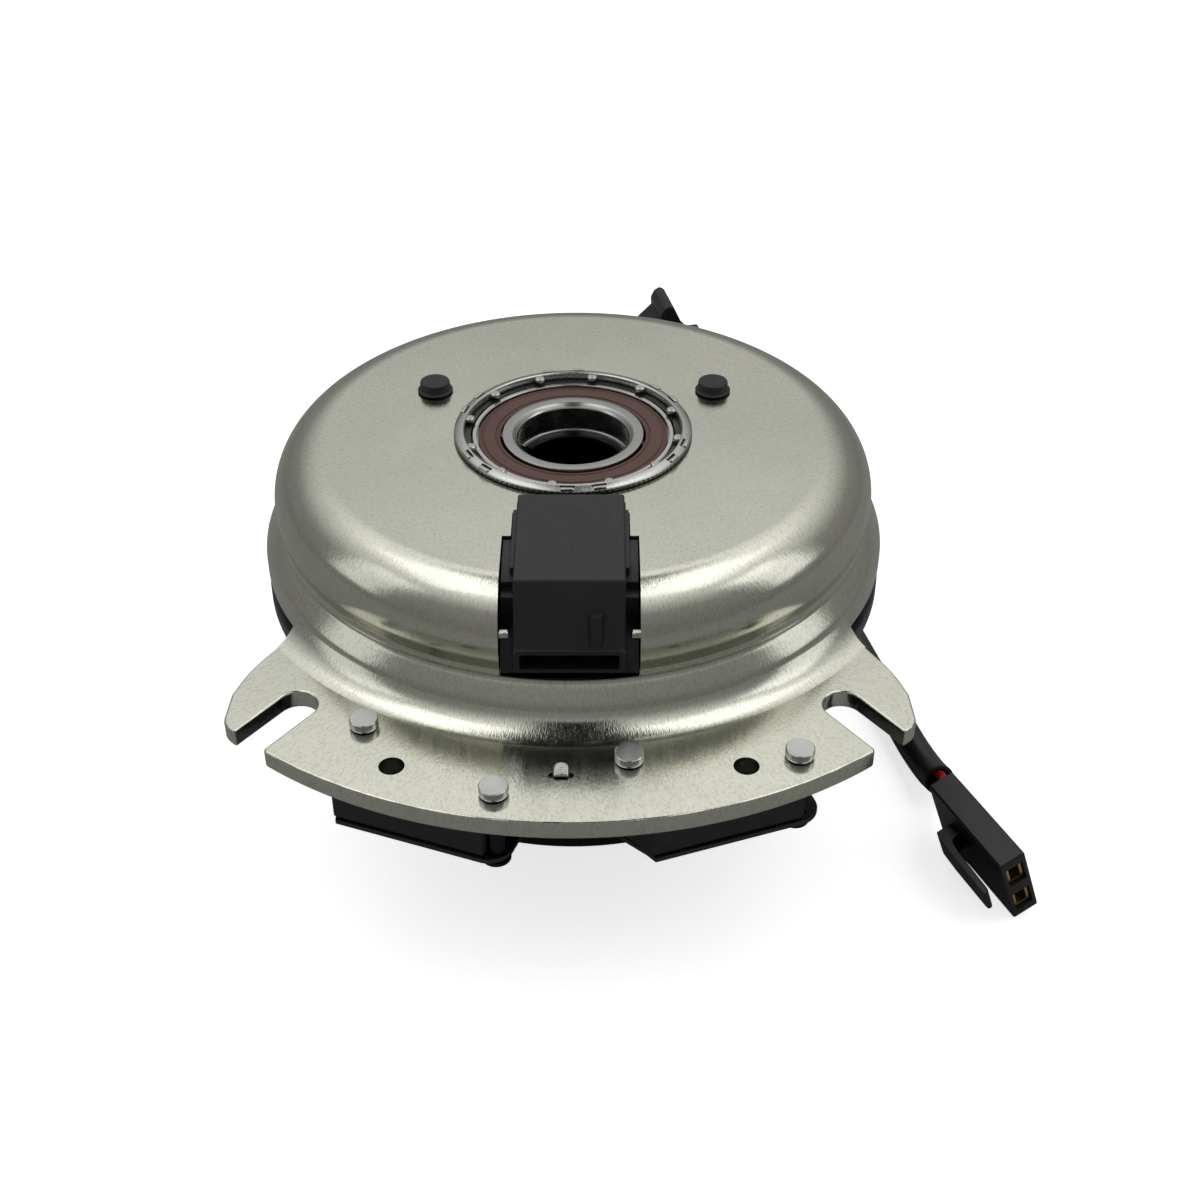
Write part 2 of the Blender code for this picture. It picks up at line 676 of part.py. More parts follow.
def bearing_seat():
    """Turned inner pole of the coil, bored at the top for the housing's bearing."""
    floor = TOP_BEARING_TOP - TOP_WIDTH - GAP
    neck = seat_neck_radius()
    under_dome = SHELL_HEIGHT - SHELL_WALL - GAP
    section = [
        (seat_bore_radius(), TOP_BEARING_TOP),
        (seat_bore_radius(), floor),
        (POLE_BORE, floor),
        (POLE_BORE, POLE_BOTTOM),
        (POLE_RADIUS, POLE_BOTTOM),
        (POLE_RADIUS, under_dome),
        (neck, under_dome),
        (neck, TOP_BEARING_TOP),
    ]
    return turned("bearing_seat", raised(section, FLANGE_TOP), "dark_steel")


def lock_ring():
    """Flat ring pressed over the seat, staked inwards to hold the bearing."""
    low = SHELL_HEIGHT + GAP
    high = low + LOCK_RING_THICKNESS
    section = [
        (LOCK_RING_INNER, low),
        (LOCK_RING_OUTER, low),
        (LOCK_RING_OUTER, high - LOCK_RING_EDGE),
        (LOCK_RING_OUTER - LOCK_RING_EDGE, high),
        (LOCK_RING_INNER, high),
    ]
    ring = turned("lock_ring", raised(section, FLANGE_TOP), "bright_steel", FINE)
    cutters = []
    slot_outer = LOCK_RING_OUTER - TAB_SLOT_INSET
    slot_bottom = FLANGE_TOP + high - TAB_SLOT_DEPTH
    slot_top = FLANGE_TOP + high + CUT_MARGIN
    for index in range(TAB_COUNT):
        for side in (-1, 1):
            cutter = block(
                "tab_slot",
                (slot_outer - TAB_SLOT_WIDTH, -TAB_SLOT_LENGTH / 2, slot_bottom),
                (slot_outer, TAB_SLOT_LENGTH / 2, slot_top),
            )
            angle = TAB_START + 360 * index / TAB_COUNT + side * TAB_ANGLE
            cutters.append(turn_about_axis(cutter, angle))
    return shade(cut(ring, *cutters))


def bearing(prefix, bore, outside, width, top, finish):
    """Deep groove ball bearing: two rings, one fused row of balls and cage, two seals."""
    inner = bore / 2
    outer = outside / 2
    inner_land = inner + RING_WALL
    outer_land = outer - OUTER_WALL
    middle = top - width / 2
    ball_circle = (inner_land + outer_land) / 2
    ball = (outer_land - inner_land) / 2 + RACEWAY_DEPTH - GAP
    seal_outer = outer_land + SEAL_STEP
    recess = SEAL_DEPTH + SEAL_THICKNESS + GAP
    low = top - width
    outer_section = [
        (outer_land, middle - RACEWAY_HALF),
        (outer_land, low + recess),
        (seal_outer, low + recess),
        (seal_outer, low),
        (outer - RING_CHAMFER, low),
        (outer, low + RING_CHAMFER),
        (outer, top - RING_CHAMFER),
        (outer - RING_CHAMFER, top),
        (seal_outer, top),
        (seal_outer, top - recess),
        (outer_land, top - recess),
        (outer_land, middle + RACEWAY_HALF),
        (outer_land + RACEWAY_DEPTH, middle),
    ]
    inner_section = [
        (inner, low + RING_CHAMFER),
        (inner, top - INNER_RING_CHAMFER),
        (inner + INNER_RING_CHAMFER, top),
        (inner_land, top),
        (inner_land, middle + RACEWAY_HALF),
        (inner_land - RACEWAY_DEPTH, middle),
        (inner_land, middle - RACEWAY_HALF),
        (inner_land, low),
        (inner + RING_CHAMFER, low),
    ]
    pieces = {}
    for part, section in (("outer_ring", outer_section), ("inner_ring", inner_section)):
        pieces[part] = turned(prefix + "_" + part, raised(section, FLANGE_TOP), "bright_steel")
    for where, height in (("top", top - SEAL_DEPTH - SEAL_THICKNESS), ("bottom", low + SEAL_DEPTH)):
        seal_section = [
            (inner_land + RUNNING_GAP, height),
            (seal_outer - GAP, height),
            (seal_outer - GAP, height + SEAL_THICKNESS),
            (inner_land + RUNNING_GAP, height + SEAL_THICKNESS),
        ]
        part = where + "_seal"
        pieces[part] = turned(prefix + "_" + part, raised(seal_section, FLANGE_TOP), finish)
    pieces["balls"] = ball_row(prefix + "_balls", ball_circle, ball, FLANGE_TOP + middle)
    return pieces


def ball_row(name, circle, radius, height):
    """The balls and their cage, fused as one solid."""
    section = [
        (circle - CAGE_HALF, height - CAGE_HALF),
        (circle + CAGE_HALF, height - CAGE_HALF),
        (circle + CAGE_HALF, height + CAGE_HALF),
        (circle - CAGE_HALF, height + CAGE_HALF),
    ]
    row = turned(name, section, "bright_steel", BALL_COUNT * 3)
    balls = []
    for index in range(BALL_COUNT):
        x, y = polar(circle, 360 * index / BALL_COUNT + 3)
        profile = arc(radius, -90, 90, 4, (0.0, height))
        profile = [(max(0.0, across), z) for across, z in profile]
        balls.append(turned("ball", profile, "bright_steel", 8, (x, y)))
    return shade(join(row, *balls))


def coil():
    """Moulded bobbin around the pole, its winding and the two wires to the socket."""
    low = POLE_BOTTOM + BOBBIN_LIFT
    inner = POLE_RADIUS + GAP
    bobbin_section = [
        (inner, low),
        (COIL_OUTER, low),
        (COIL_OUTER, low + BOBBIN_WALL),
        (inner + BOBBIN_WALL, low + BOBBIN_WALL),
        (inner + BOBBIN_WALL, COIL_TOP - BOBBIN_WALL),
        (COIL_OUTER, COIL_TOP - BOBBIN_WALL),
        (COIL_OUTER, COIL_TOP),
        (inner, COIL_TOP),
    ]
    turned("coil_bobbin", raised(bobbin_section, FLANGE_TOP), "bobbin_plastic")
    winding_inner = inner + BOBBIN_WALL + GAP
    winding_outer = COIL_OUTER - WINDING_INSET
    winding_low = low + BOBBIN_WALL + GAP
    winding_high = COIL_TOP - BOBBIN_WALL - GAP
    winding_section = [
        (winding_inner, winding_low),
        (winding_outer, winding_low),
        (winding_outer, winding_high),
        (winding_inner, winding_high),
    ]
    turned("coil_winding", raised(winding_section, FLANGE_TOP), "copper")
    start = winding_outer + COIL_LEAD_RADIUS + GAP
    end = terminal_back() + COIL_LEAD_RADIUS + GAP
    centre = FLANGE_TOP + SOCKET_BOTTOM + SOCKET_HEIGHT / 2
    for name, side in (("coil_lead_left", -1), ("coil_lead_right", 1)):
        x = side * TERMINAL_SPACING / 2
        drop = math.sqrt(start ** 2 - x ** 2)
        points = [
            (x, -drop, centre + COIL_LEAD_RISE),
            (x, -drop, centre + COIL_LEAD_BEND),
            (x, -(drop + COIL_LEAD_BEND / 4), centre + COIL_LEAD_BEND / 4),
            (x, -(drop + COIL_LEAD_BEND), centre),
            (x, end, centre),
        ]
        tube(name, points, 2 * COIL_LEAD_RADIUS, "copper", 8)


def socket_back():
    """How far in the floor of the socket lies, as a Y value."""
    return HOUSING_FRONT + SOCKET_DEPTH


def terminal_back():
    """Rear end of a socket terminal, just inside the back of the housing."""
    return socket_back() + TERMINAL_TAIL


def connector_housing():
    """Moulded socket over the dome's shoulder, with rails that close the opening."""
    half = HOOD_WIDTH / 2
    low = FLANGE_TOP + HOUSING_BOTTOM
    back_foot = socket_back() + HOUSING_BACK_WALL
    under = FLANGE_TOP + SHELL_HEIGHT - SHELL_WALL
    outline = [
        (HOOD_BACK, under),
        (HOOD_BACK, FLANGE_TOP + HOOD_BACK_HEIGHT - HOOD_EDGE),
        (HOOD_BACK - HOOD_EDGE, FLANGE_TOP + HOOD_BACK_HEIGHT),
        (HOOD_FOLD[0], FLANGE_TOP + HOOD_FOLD[1]),
        (HOOD_FOOT[0], FLANGE_TOP + HOOD_FOOT[1]),
        (HOUSING_FRONT, low),
        (back_foot, low),
        (back_foot, under),
    ]
    housing = side_extruded("connector_housing", outline, -half, half, "black_plastic")
    rail_half = RAIL_WIDTH / 2
    rail_foot = back_foot - HOUSING_BACK_WALL / 2
    rail_outline = [
        (RAIL_BACK, under + RAIL_INSET),
        (RAIL_BACK, FLANGE_TOP + RAIL_HEIGHT),
        (RAIL_TOP_FRONT, FLANGE_TOP + RAIL_HEIGHT),
        (RAIL_SHOULDER[0], FLANGE_TOP + RAIL_SHOULDER[1]),
        (RAIL_TOE[0], FLANGE_TOP + RAIL_TOE[1]),
        (HOUSING_FRONT + RAIL_INSET, low + RAIL_INSET),
        (rail_foot, low + RAIL_INSET),
        (rail_foot, under + RAIL_INSET),
    ]
    rails = side_extruded("rails", rail_outline, -rail_half, rail_half, "black_plastic")
    join(housing, rails)
    rib_half = LATCH_RIB_WIDTH / 2
    rib_top = FLANGE_TOP + LATCH_RIB_TOP
    rib = block(
        "rib",
        (LATCH_RIB_X - rib_half, HOUSING_FRONT + LATCH_RIB_INSET, FLANGE_TOP + HOOD_FOOT[1] - LATCH_RIB_ROOT),
        (LATCH_RIB_X + rib_half, HOOD_FOLD[0] - LATCH_RIB_ROOT, rib_top),
    )
    join(housing, rib)
    socket = block(
        "socket",
        (-SOCKET_WIDTH / 2, HOUSING_FRONT - CUT_MARGIN, FLANGE_TOP + SOCKET_BOTTOM),
        (SOCKET_WIDTH / 2, socket_back(), FLANGE_TOP + SOCKET_BOTTOM + SOCKET_HEIGHT),
    )
    cutters = [socket]
    for side in (-1, 1):
        cutters.append(terminal_block("terminal_seat", side, GAP, CUT_MARGIN))
    return cut(housing, *cutters)


def terminal_block(name, side, clearance, extra_back, finish=None):
    """A blade terminal, or with a clearance the slot that it sits in."""
    centre = side * TERMINAL_SPACING / 2
    half = TERMINAL_WIDTH / 2 + clearance
    thick = TERMINAL_THICKNESS / 2 + clearance
    middle = FLANGE_TOP + SOCKET_BOTTOM + SOCKET_HEIGHT / 2
    front = socket_back() - TERMINAL_REACH
    low = (centre - half, front, middle - thick)
    high = (centre + half, terminal_back() + extra_back, middle + thick)
    return block(name, low, high, finish)


def vent_plug(name, side):
    """Rubber plug pushed into a hole of the dome."""
    bottom = SHELL_HEIGHT - SHELL_WALL - PLUG_STEM_REACH
    seat = SHELL_HEIGHT + GAP
    section = [
        (0, bottom),
        (PLUG_STEM, bottom),
        (PLUG_STEM, seat),
        (PLUG_BASE, seat),
        (PLUG_BASE, seat + PLUG_BASE_HEIGHT),
        (PLUG_TOP, seat + PLUG_HEIGHT - PLUG_EDGE),
        (PLUG_TOP - PLUG_EDGE, seat + PLUG_HEIGHT),
        (0, seat + PLUG_HEIGHT),
    ]
    return turned(name, raised(section, FLANGE_TOP), "black_rubber", COARSE, plug_place(side))


# Hub, rotor and armature

def hub_profile():
    bore = HUB_BORE / 2
    top_journal = TOP_BORE / 2 - GAP / 2
    low_journal = LOW_BORE / 2 - GAP / 2
    shoulder = TOP_BEARING_TOP - TOP_WIDTH - GAP
    low_shoulder = LOW_BEARING_TOP + GAP
    groove_top = LOW_BEARING_TOP - LOW_WIDTH - GAP
    groove_bottom = groove_top - SNAP_THICKNESS - GAP
    return [
        (bore, HUB_TOP - HUB_CHAMFER),
        (bore + HUB_CHAMFER, HUB_TOP),
        (top_journal, HUB_TOP),
        (top_journal, shoulder),
        (HUB_SHOULDER, shoulder),
        (HUB_SHOULDER, ROTOR_TOP + HUB_SHOULDER_RISE),
        (HUB_BODY, ROTOR_TOP + HUB_SHOULDER_RISE / 2),
        (HUB_BODY, ROTOR_BOTTOM - GAP),
        (HUB_FLANGE, ROTOR_BOTTOM - GAP),
        (HUB_FLANGE, ROTOR_BOTTOM - GAP - HUB_FLANGE_THICKNESS),
        (low_journal + HUB_STEP, ROTOR_BOTTOM - GAP - HUB_FLANGE_THICKNESS - HUB_TAPER),
        (low_journal + HUB_STEP, low_shoulder),
        (low_journal, low_shoulder),
        (low_journal, groove_top),
        (low_journal - SNAP_DEPTH, groove_top),
        (low_journal - SNAP_DEPTH, groove_bottom),
        (low_journal, groove_bottom),
        (low_journal, HUB_BOTTOM + HUB_EDGE),
        (low_journal - HUB_EDGE, HUB_BOTTOM),
        (bore + HUB_EDGE, HUB_BOTTOM),
        (bore, HUB_BOTTOM + HUB_EDGE),
    ]


def hub():
    """Keyed steel sleeve on the crankshaft; the rotor and both bearings sit on it."""
    sleeve = turned("hub", raised(hub_profile(), FLANGE_TOP), "bright_steel")
    half = KEYWAY_WIDTH / 2
    low = FLANGE_TOP + HUB_BOTTOM - CUT_MARGIN
    high = FLANGE_TOP + HUB_TOP + CUT_MARGIN
    keyway = block("keyway", (0.0, -half, low), (KEYWAY_RADIUS, half, high))
    turn_about_axis(keyway, KEYWAY_ANGLE)
    return shade(cut(sleeve, keyway))


def snap_ring(name, inner, outer, top, gap_angle, finish):
    """Open retaining ring, flat, with a gap where the pliers go."""
    ring = turned(
        name,
        [(inner, top - SNAP_THICKNESS), (outer, top - SNAP_THICKNESS), (outer, top), (inner, top)],
        finish,
    )
    mouth = block(
        "mouth",
        (inner - CUT_MARGIN, -SNAP_MOUTH / 2, top - SNAP_THICKNESS - CUT_MARGIN),
        (outer + CUT_MARGIN, SNAP_MOUTH / 2, top + CUT_MARGIN),
    )
    turn_about_axis(mouth, gap_angle)
    return shade(cut(ring, mouth))


def rotor_disc():
    """Friction disc pressed on the hub, with banana slots between its poles."""
    rim_top = RIM_BOTTOM - ROTOR_RIM_DROP
    section = [
        (HUB_BODY + GAP, ROTOR_BOTTOM),
        (ROTOR_RADIUS, ROTOR_BOTTOM),
        (ROTOR_RADIUS, rim_top),
        (ROTOR_INNER_RADIUS, rim_top),
        (ROTOR_INNER_RADIUS, ROTOR_TOP),
        (HUB_BODY + GAP, ROTOR_TOP),
    ]
    disc = turned("rotor_disc", raised(section, FLANGE_TOP), "dark_steel", FINE)
    cutters = []
    half = ROTOR_SLOT_WIDTH / 2
    for index in range(ROTOR_SLOT_COUNT):
        start = 360 * index / ROTOR_SLOT_COUNT
        outline = arc(ROTOR_SLOT_CIRCLE + half, start, start + ROTOR_SLOT_SPAN, 7)
        outline += arc(ROTOR_SLOT_CIRCLE - half, start + ROTOR_SLOT_SPAN, start, 7)
        low = FLANGE_TOP + ROTOR_BOTTOM - CUT_MARGIN
        cutters.append(extruded("slot", outline, low, FLANGE_TOP + ROTOR_TOP + CUT_MARGIN))
    return shade(cut(disc, *cutters))


def armature_top():
    return ROTOR_BOTTOM - AIR_GAP


def armature_bottom():
    return armature_top() - ARMATURE_THICKNESS


def spring_top():
    """Upper face of the leaf springs, midway between armature and pulley."""
    return (armature_bottom() + PULLEY_TOP) / 2 + SPRING_THICKNESS / 2


def armature_plate():
    section = [
        (ARMATURE_BORE, armature_bottom()),
        (ARMATURE_RADIUS, armature_bottom()),
        (ARMATURE_RADIUS, armature_top()),
        (ARMATURE_BORE, armature_top()),
    ]
    plate = turned("armature_plate", raised(section, FLANGE_TOP), "dark_steel", FINE)
    cutters = []
    low = FLANGE_TOP + armature_bottom() - CUT_MARGIN
    high = FLANGE_TOP + armature_top() + CUT_MARGIN
    for index in range(SPRING_COUNT):
        place = spring_end(index, -1)
        cutters.append(rod("drill", DRIVE_RIVET_RADIUS + GAP, low, high, place, segments=TINY))
        place = spring_end(index, 1)
        cutters.append(rod("relief", DRIVE_HEAD_RADIUS + ARMATURE_RELIEF, low, high, place))
    return shade(cut(plate, *cutters))


def spring_angle(index):
    return 360 * index / SPRING_COUNT + 90


def spring_end(index, end):
    """Rivet place at the armature end (-1) or the pulley end (1) of a spring."""
    angle = spring_angle(index)
    radial = Vector(polar(DRIVE_CIRCLE, angle))
    along = Vector(polar(1.0, angle + 90)) * (end * (SPRING_LENGTH - SPRING_WIDTH) / 2)
    place = radial + along
    return (place.x, place.y)


def leaf_spring(index):
    """Flat strip with round ends that carries the armature and drives the pulley."""
    half_width = SPRING_WIDTH / 2
    half_length = (SPRING_LENGTH - SPRING_WIDTH) / 2
    outline = arc(half_width, -90, 90, 6, (half_length, 0.0))
    outline += arc(half_width, 90, 270, 6, (-half_length, 0.0))
    top = FLANGE_TOP + spring_top()
    name = "leaf_spring_" + str(index + 1)
    strip = extruded(name, outline, top - SPRING_THICKNESS, top, "spring_steel")
    low = top - SPRING_THICKNESS - CUT_MARGIN
    high = top + CUT_MARGIN
    for side in (-1, 1):
        place = (side * half_length, 0.0)
        cut(strip, rod("hole", DRIVE_RIVET_RADIUS + GAP, low, high, place, segments=TINY))
    angle = spring_angle(index)
    strip.rotation_euler.z = math.radians(angle + 90)
    strip.location = (*polar(DRIVE_CIRCLE, angle), 0.0)
    return strip


def armature_rivet(index):
    """Rivet from a spring's end up into the armature."""
    under = spring_top() - SPRING_THICKNESS - GAP
    section = [
        (0, under - DRIVE_HEAD),
        (DRIVE_HEAD_RADIUS, under - DRIVE_HEAD),
        (DRIVE_HEAD_RADIUS, under),
        (DRIVE_RIVET_RADIUS, under),
        (DRIVE_RIVET_RADIUS, armature_top() - DRIVE_RIVET_INSET),
        (0, armature_top() - DRIVE_RIVET_INSET),
    ]
    name = "armature_rivet_" + str(index + 1)
    return turned(name, raised(section, FLANGE_TOP), "rivet_steel", TINY, spring_end(index, -1))


def pulley_rivet(index):
    """Rivet from a spring's other end down into the pulley."""
    over = spring_top() + GAP
    section = [
        (0, PULLEY_TOP - PULLEY_RIVET_DEPTH),
        (DRIVE_RIVET_RADIUS, PULLEY_TOP - PULLEY_RIVET_DEPTH),
        (DRIVE_RIVET_RADIUS, over),
        (DRIVE_HEAD_RADIUS, over),
        (DRIVE_HEAD_RADIUS, over + DRIVE_HEAD),
        (0, over + DRIVE_HEAD),
    ]
    name = "pulley_rivet_" + str(index + 1)
    return turned(name, raised(section, FLANGE_TOP), "rivet_steel", TINY, spring_end(index, 1))


# Pulley

def pulley_profile():
    """Section of the pulley in heights over the floor."""
    top = FLANGE_TOP + PULLEY_TOP
    bore = LOW_OUTSIDE / 2 + GAP / 2
    bearing_top = FLANGE_TOP + LOW_BEARING_TOP + GAP
    bearing_low = FLANGE_TOP + LOW_BEARING_TOP - LOW_WIDTH - GAP
    groove_low = bearing_low - SNAP_THICKNESS - GAP
    mouth_high = GROOVE_CENTRE + GROOVE_MOUTH / 2
    mouth_low = GROOVE_CENTRE - GROOVE_MOUTH / 2
    flange_top = mouth_high + PULLEY_FLANGE
    hub_outer = bore + PULLEY_HUB_WALL
    hub_foot = groove_low - SNAP_LAND
    cavity_top = bearing_top - PULLEY_EDGE
    cavity = GROOVE_ROOT - PULLEY_WALL
    return [
        (bore - PULLEY_LIP, top),
        (PULLEY_PLATE, top),
        (PULLEY_PLATE, top - PULLEY_PLATE_EDGE),
        (PULLEY_BODY, top - PULLEY_PLATE_EDGE - PULLEY_SLOPE),
        (PULLEY_BODY, flange_top + PULLEY_BODY_SLOPE),
        (PULLEY_RADIUS, flange_top),
        (PULLEY_RADIUS, mouth_high),
        (GROOVE_ROOT, GROOVE_CENTRE + GROOVE_ROOT_WIDTH / 2),
        (GROOVE_ROOT, GROOVE_CENTRE - GROOVE_ROOT_WIDTH / 2),
        (PULLEY_RADIUS, mouth_low),
        (PULLEY_RADIUS, mouth_low - PULLEY_FLANGE),
        (PULLEY_RADIUS - PULLEY_EDGE, 0.0),
        (PULLEY_RADIUS - PULLEY_EDGE - PULLEY_FOOT, 0.0),
        (cavity, PULLEY_CAVITY_FLARE),
        (cavity, cavity_top),
        (hub_outer, cavity_top),
        (hub_outer, hub_foot),
        (bore + PULLEY_EDGE, hub_foot),
        (bore, hub_foot + PULLEY_EDGE),
        (bore, groove_low),
        (bore + SNAP_DEPTH, groove_low),
        (bore + SNAP_DEPTH, bearing_low),
        (bore, bearing_low),
        (bore, bearing_top),
        (bore - PULLEY_LIP, bearing_top),
    ]


def pulley():
    wheel = turned("pulley", pulley_profile(), "black_paint", FINE)
    cutters = []
    top = FLANGE_TOP + PULLEY_TOP
    bottom = top - PULLEY_RIVET_DEPTH - GAP
    high = top + CUT_MARGIN
    for index in range(SPRING_COUNT):
        place = spring_end(index, 1)
        cutters.append(rod("drill", DRIVE_RIVET_RADIUS + GAP, bottom, high, place, segments=TINY))
    return shade(cut(wheel, *cutters))


# Brakes

def brake_box_bottom():
    return -FLANGE_THICKNESS - GAP - BRAKE_BOX_HEIGHT


def brake_top_inside():
    """Upper face of the brake where it reaches under the armature."""
    return armature_bottom() - GAP


def brake_outline():
    """Plan of a brake's box as (outward, along) points."""
    corner = BRAKE_FRONT - BRAKE_CORNER
    inner = BRAKE_INNER + BRAKE_SETBACK
    return [
        (BRAKE_FRONT, BRAKE_LEFT_END),
        (BRAKE_FRONT, BRAKE_RIGHT_END),
        (corner, BRAKE_RIGHT_END + BRAKE_SIDE_RIGHT),
        (inner, BRAKE_RIGHT_END + BRAKE_SIDE_RIGHT),
        (inner, BRAKE_LEFT_END - BRAKE_SIDE_LEFT),
        (corner, BRAKE_LEFT_END - BRAKE_SIDE_LEFT),
    ]


def brake_plate_outline():
    """Plan of the steel plate: a lip past the box, a round nose and a tongue for the lining."""
    front = BRAKE_FRONT + BRAKE_LIP
    nose = (front - BRAKE_NOSE, BRAKE_RIGHT_END - BRAKE_NOSE_SHIFT)
    left = BRAKE_LEFT_END - BRAKE_SIDE_LEFT - BRAKE_LIP
    tongue = PAD_HALF_LENGTH + PAD_SIDE
    outline = [(front, BRAKE_LEFT_END + BRAKE_LIP)]
    outline += arc(BRAKE_NOSE, 0, 90, 6, nose)
    outline += [
        (BRAKE_FRONT - BRAKE_PLATE_BACK, nose[1] + BRAKE_NOSE),
        (BRAKE_PLATE_INNER, tongue),
        (BRAKE_PLATE_INNER, -tongue),
        (BRAKE_FRONT - BRAKE_PLATE_BACK, left),
        (BRAKE_FRONT - BRAKE_CORNER, left),
        (front - BRAKE_SETBACK, BRAKE_LEFT_END - BRAKE_LIP),
    ]
    return outline


def brake_pad_outline():
    """Plan of the lining, round on the side that faces out."""
    outline = []
    for share in (-1.0, -0.5, 0.0, 0.5, 1.0):
        along = share * PAD_HALF_LENGTH
        outline.append((math.sqrt(PAD_OUTER_RADIUS ** 2 - along ** 2), along))
    outline += [(PAD_INNER, PAD_HALF_LENGTH), (PAD_INNER, -PAD_HALF_LENGTH)]
    return outline


def brake(side):
    """Moulded box, steel plate under it and the lining that the armature rests on."""
    angle = BRAKE_ANGLES[side]
    top = FLANGE_TOP - FLANGE_THICKNESS - GAP
    bottom = FLANGE_TOP + brake_box_bottom()
    plate_top = bottom - GAP
    plate_low = plate_top - BRAKE_PLATE_THICKNESS
    pad_top = FLANGE_TOP + brake_top_inside()
    box = extruded("brake_box_" + side, brake_outline(), bottom, top, "black_plastic")
    plate = extruded("brake_plate_" + side, brake_plate_outline(), plate_low, plate_top, "dark_steel")
    pad = extruded("brake_pad_" + side, brake_pad_outline(), bottom, pad_top, "friction")
    for item in (box, plate, pad):
        turn_about_axis(item, angle)
    for radius, place_angle in RIVET_PLACES:
        if abs(place_angle - angle) > BRAKE_HALF_SPAN:
            continue
        place = polar(radius, place_angle)
        for item in (box, plate):
            low = plate_low - CUT_MARGIN
            high = top + CUT_MARGIN
            cut(item, rod("drill", RIVET_SHANK + GAP, low, high, place, segments=TINY))


def brake_rivet(index):
    radius, angle = RIVET_PLACES[index]
    plate_low = brake_box_bottom() - GAP - BRAKE_PLATE_THICKNESS
    foot = plate_low - GAP
    section = [
        (0, foot - RIVET_FOOT_HEIGHT),
        (RIVET_HEAD, foot - RIVET_FOOT_HEIGHT),
        (RIVET_HEAD, foot),
        (RIVET_SHANK, foot),
        (RIVET_SHANK, GAP),
        (RIVET_HEAD, GAP),
        (RIVET_HEAD, RIVET_HEAD_HEIGHT - RIVET_EDGE),
        (RIVET_HEAD - RIVET_EDGE, RIVET_HEAD_HEIGHT),
        (0, RIVET_HEAD_HEIGHT),
    ]
    name = "brake_rivet_" + str(index + 1)
    return turned(name, raised(section, FLANGE_TOP), "rivet_steel", TINY, polar(radius, angle))


# Loose lead

def lead_plug_frame():
    """Place of the front plug: X across, Y forward along it, Z up its tall side."""
    yaw = Matrix.Rotation(math.radians(LEAD_PLUG_YAW), 4, "Z")
    lean = Matrix.Rotation(math.radians(-LEAD_PLUG_LEAN), 4, "Y")
    rise = LEAD_PLUG_WIDTH / 2 * math.sin(math.radians(LEAD_PLUG_LEAN)) + GAP
    place = Matrix.Translation((LEAD_PLUG_NOSE[0], LEAD_PLUG_NOSE[1], rise))
    return place @ yaw @ lean


def way(name, level, wall, front, depth, finish=None):
    """A box along one of the plug's two ways, as a hole or as what sits in it."""
    half = LEAD_PLUG_WIDTH / 2 - PLUG_WALL - wall
    height = LEAD_PLUG_HEIGHT * level
    reach = WAY_HEIGHT / 2 - wall
    return block(name, (-half, front, height - reach), (half, depth, height + reach), finish)


def lead_plug():
    """Two-way plug on its narrow side, with its latch arm along one broad face."""
    half = LEAD_PLUG_WIDTH / 2
    size = (half, LEAD_PLUG_LENGTH, LEAD_PLUG_HEIGHT)
    plug = block("lead_plug", (-half, 0.0, 0.0), size, "black_plastic")
    arm_outer = -half - LATCH_STANDOFF - LATCH_THICKNESS
    arm_inner = -half - LATCH_STANDOFF
    arm_low = (LEAD_PLUG_HEIGHT - LATCH_WIDTH) / 2
    arm_high = (LEAD_PLUG_HEIGHT + LATCH_WIDTH) / 2
    arm_back = LEAD_PLUG_LENGTH - LATCH_BACK
    arm = block("arm", (arm_outer, LATCH_FRONT, arm_low), (arm_inner, arm_back, arm_high))
    bridge_low = (arm_outer + LATCH_THICKNESS / 4, arm_back - LATCH_BRIDGE, arm_low + PLUG_EDGE)
    bridge_high = (-half + PLUG_WALL / 2, arm_back - PLUG_EDGE, arm_high - PLUG_EDGE)
    join(arm, block("bridge", bridge_low, bridge_high))
    join(plug, arm)
    for level in WAY_LEVELS.values():
        cut(plug, way("way", level, 0.0, -CUT_MARGIN, WAY_DEPTH))
    plug.matrix_world = lead_plug_frame()
    return plug


def lead_terminal(where):
    """Brass receptacle inside one way of the plug."""
    level = WAY_LEVELS[where]
    name = "lead_terminal_" + where
    shell = way(name, level, GAP, RECEPTACLE_INSET, WAY_DEPTH - GAP, "brass")
    inside = GAP + RECEPTACLE_WALL
    cut(shell, way("mouth", level, inside, 0.0, WAY_DEPTH - CUT_MARGIN))
    shell.matrix_world = lead_plug_frame()
    return shell


def lead_wire(name, side, finish, start, away):
    """One core, from the sleeve's end into the back of the front plug."""
    across = away.cross(Vector((0, 0, 1))).cross(away).normalized()
    first = start + across * (side * WIRE_SPACING / 2)
    level = 0.5 + side * WIRE_LEVEL
    back = Vector((0.0, LEAD_PLUG_LENGTH + GAP, LEAD_PLUG_HEIGHT * level))
    behind = back + Vector((0.0, WIRE_STUB, 0.0))
    frame = lead_plug_frame()
    points = [first, first + away * WIRE_STUB, frame @ behind, frame @ back]
    return tube(name, [tuple(point) for point in points], WIRE_DIAMETER, finish, 8)


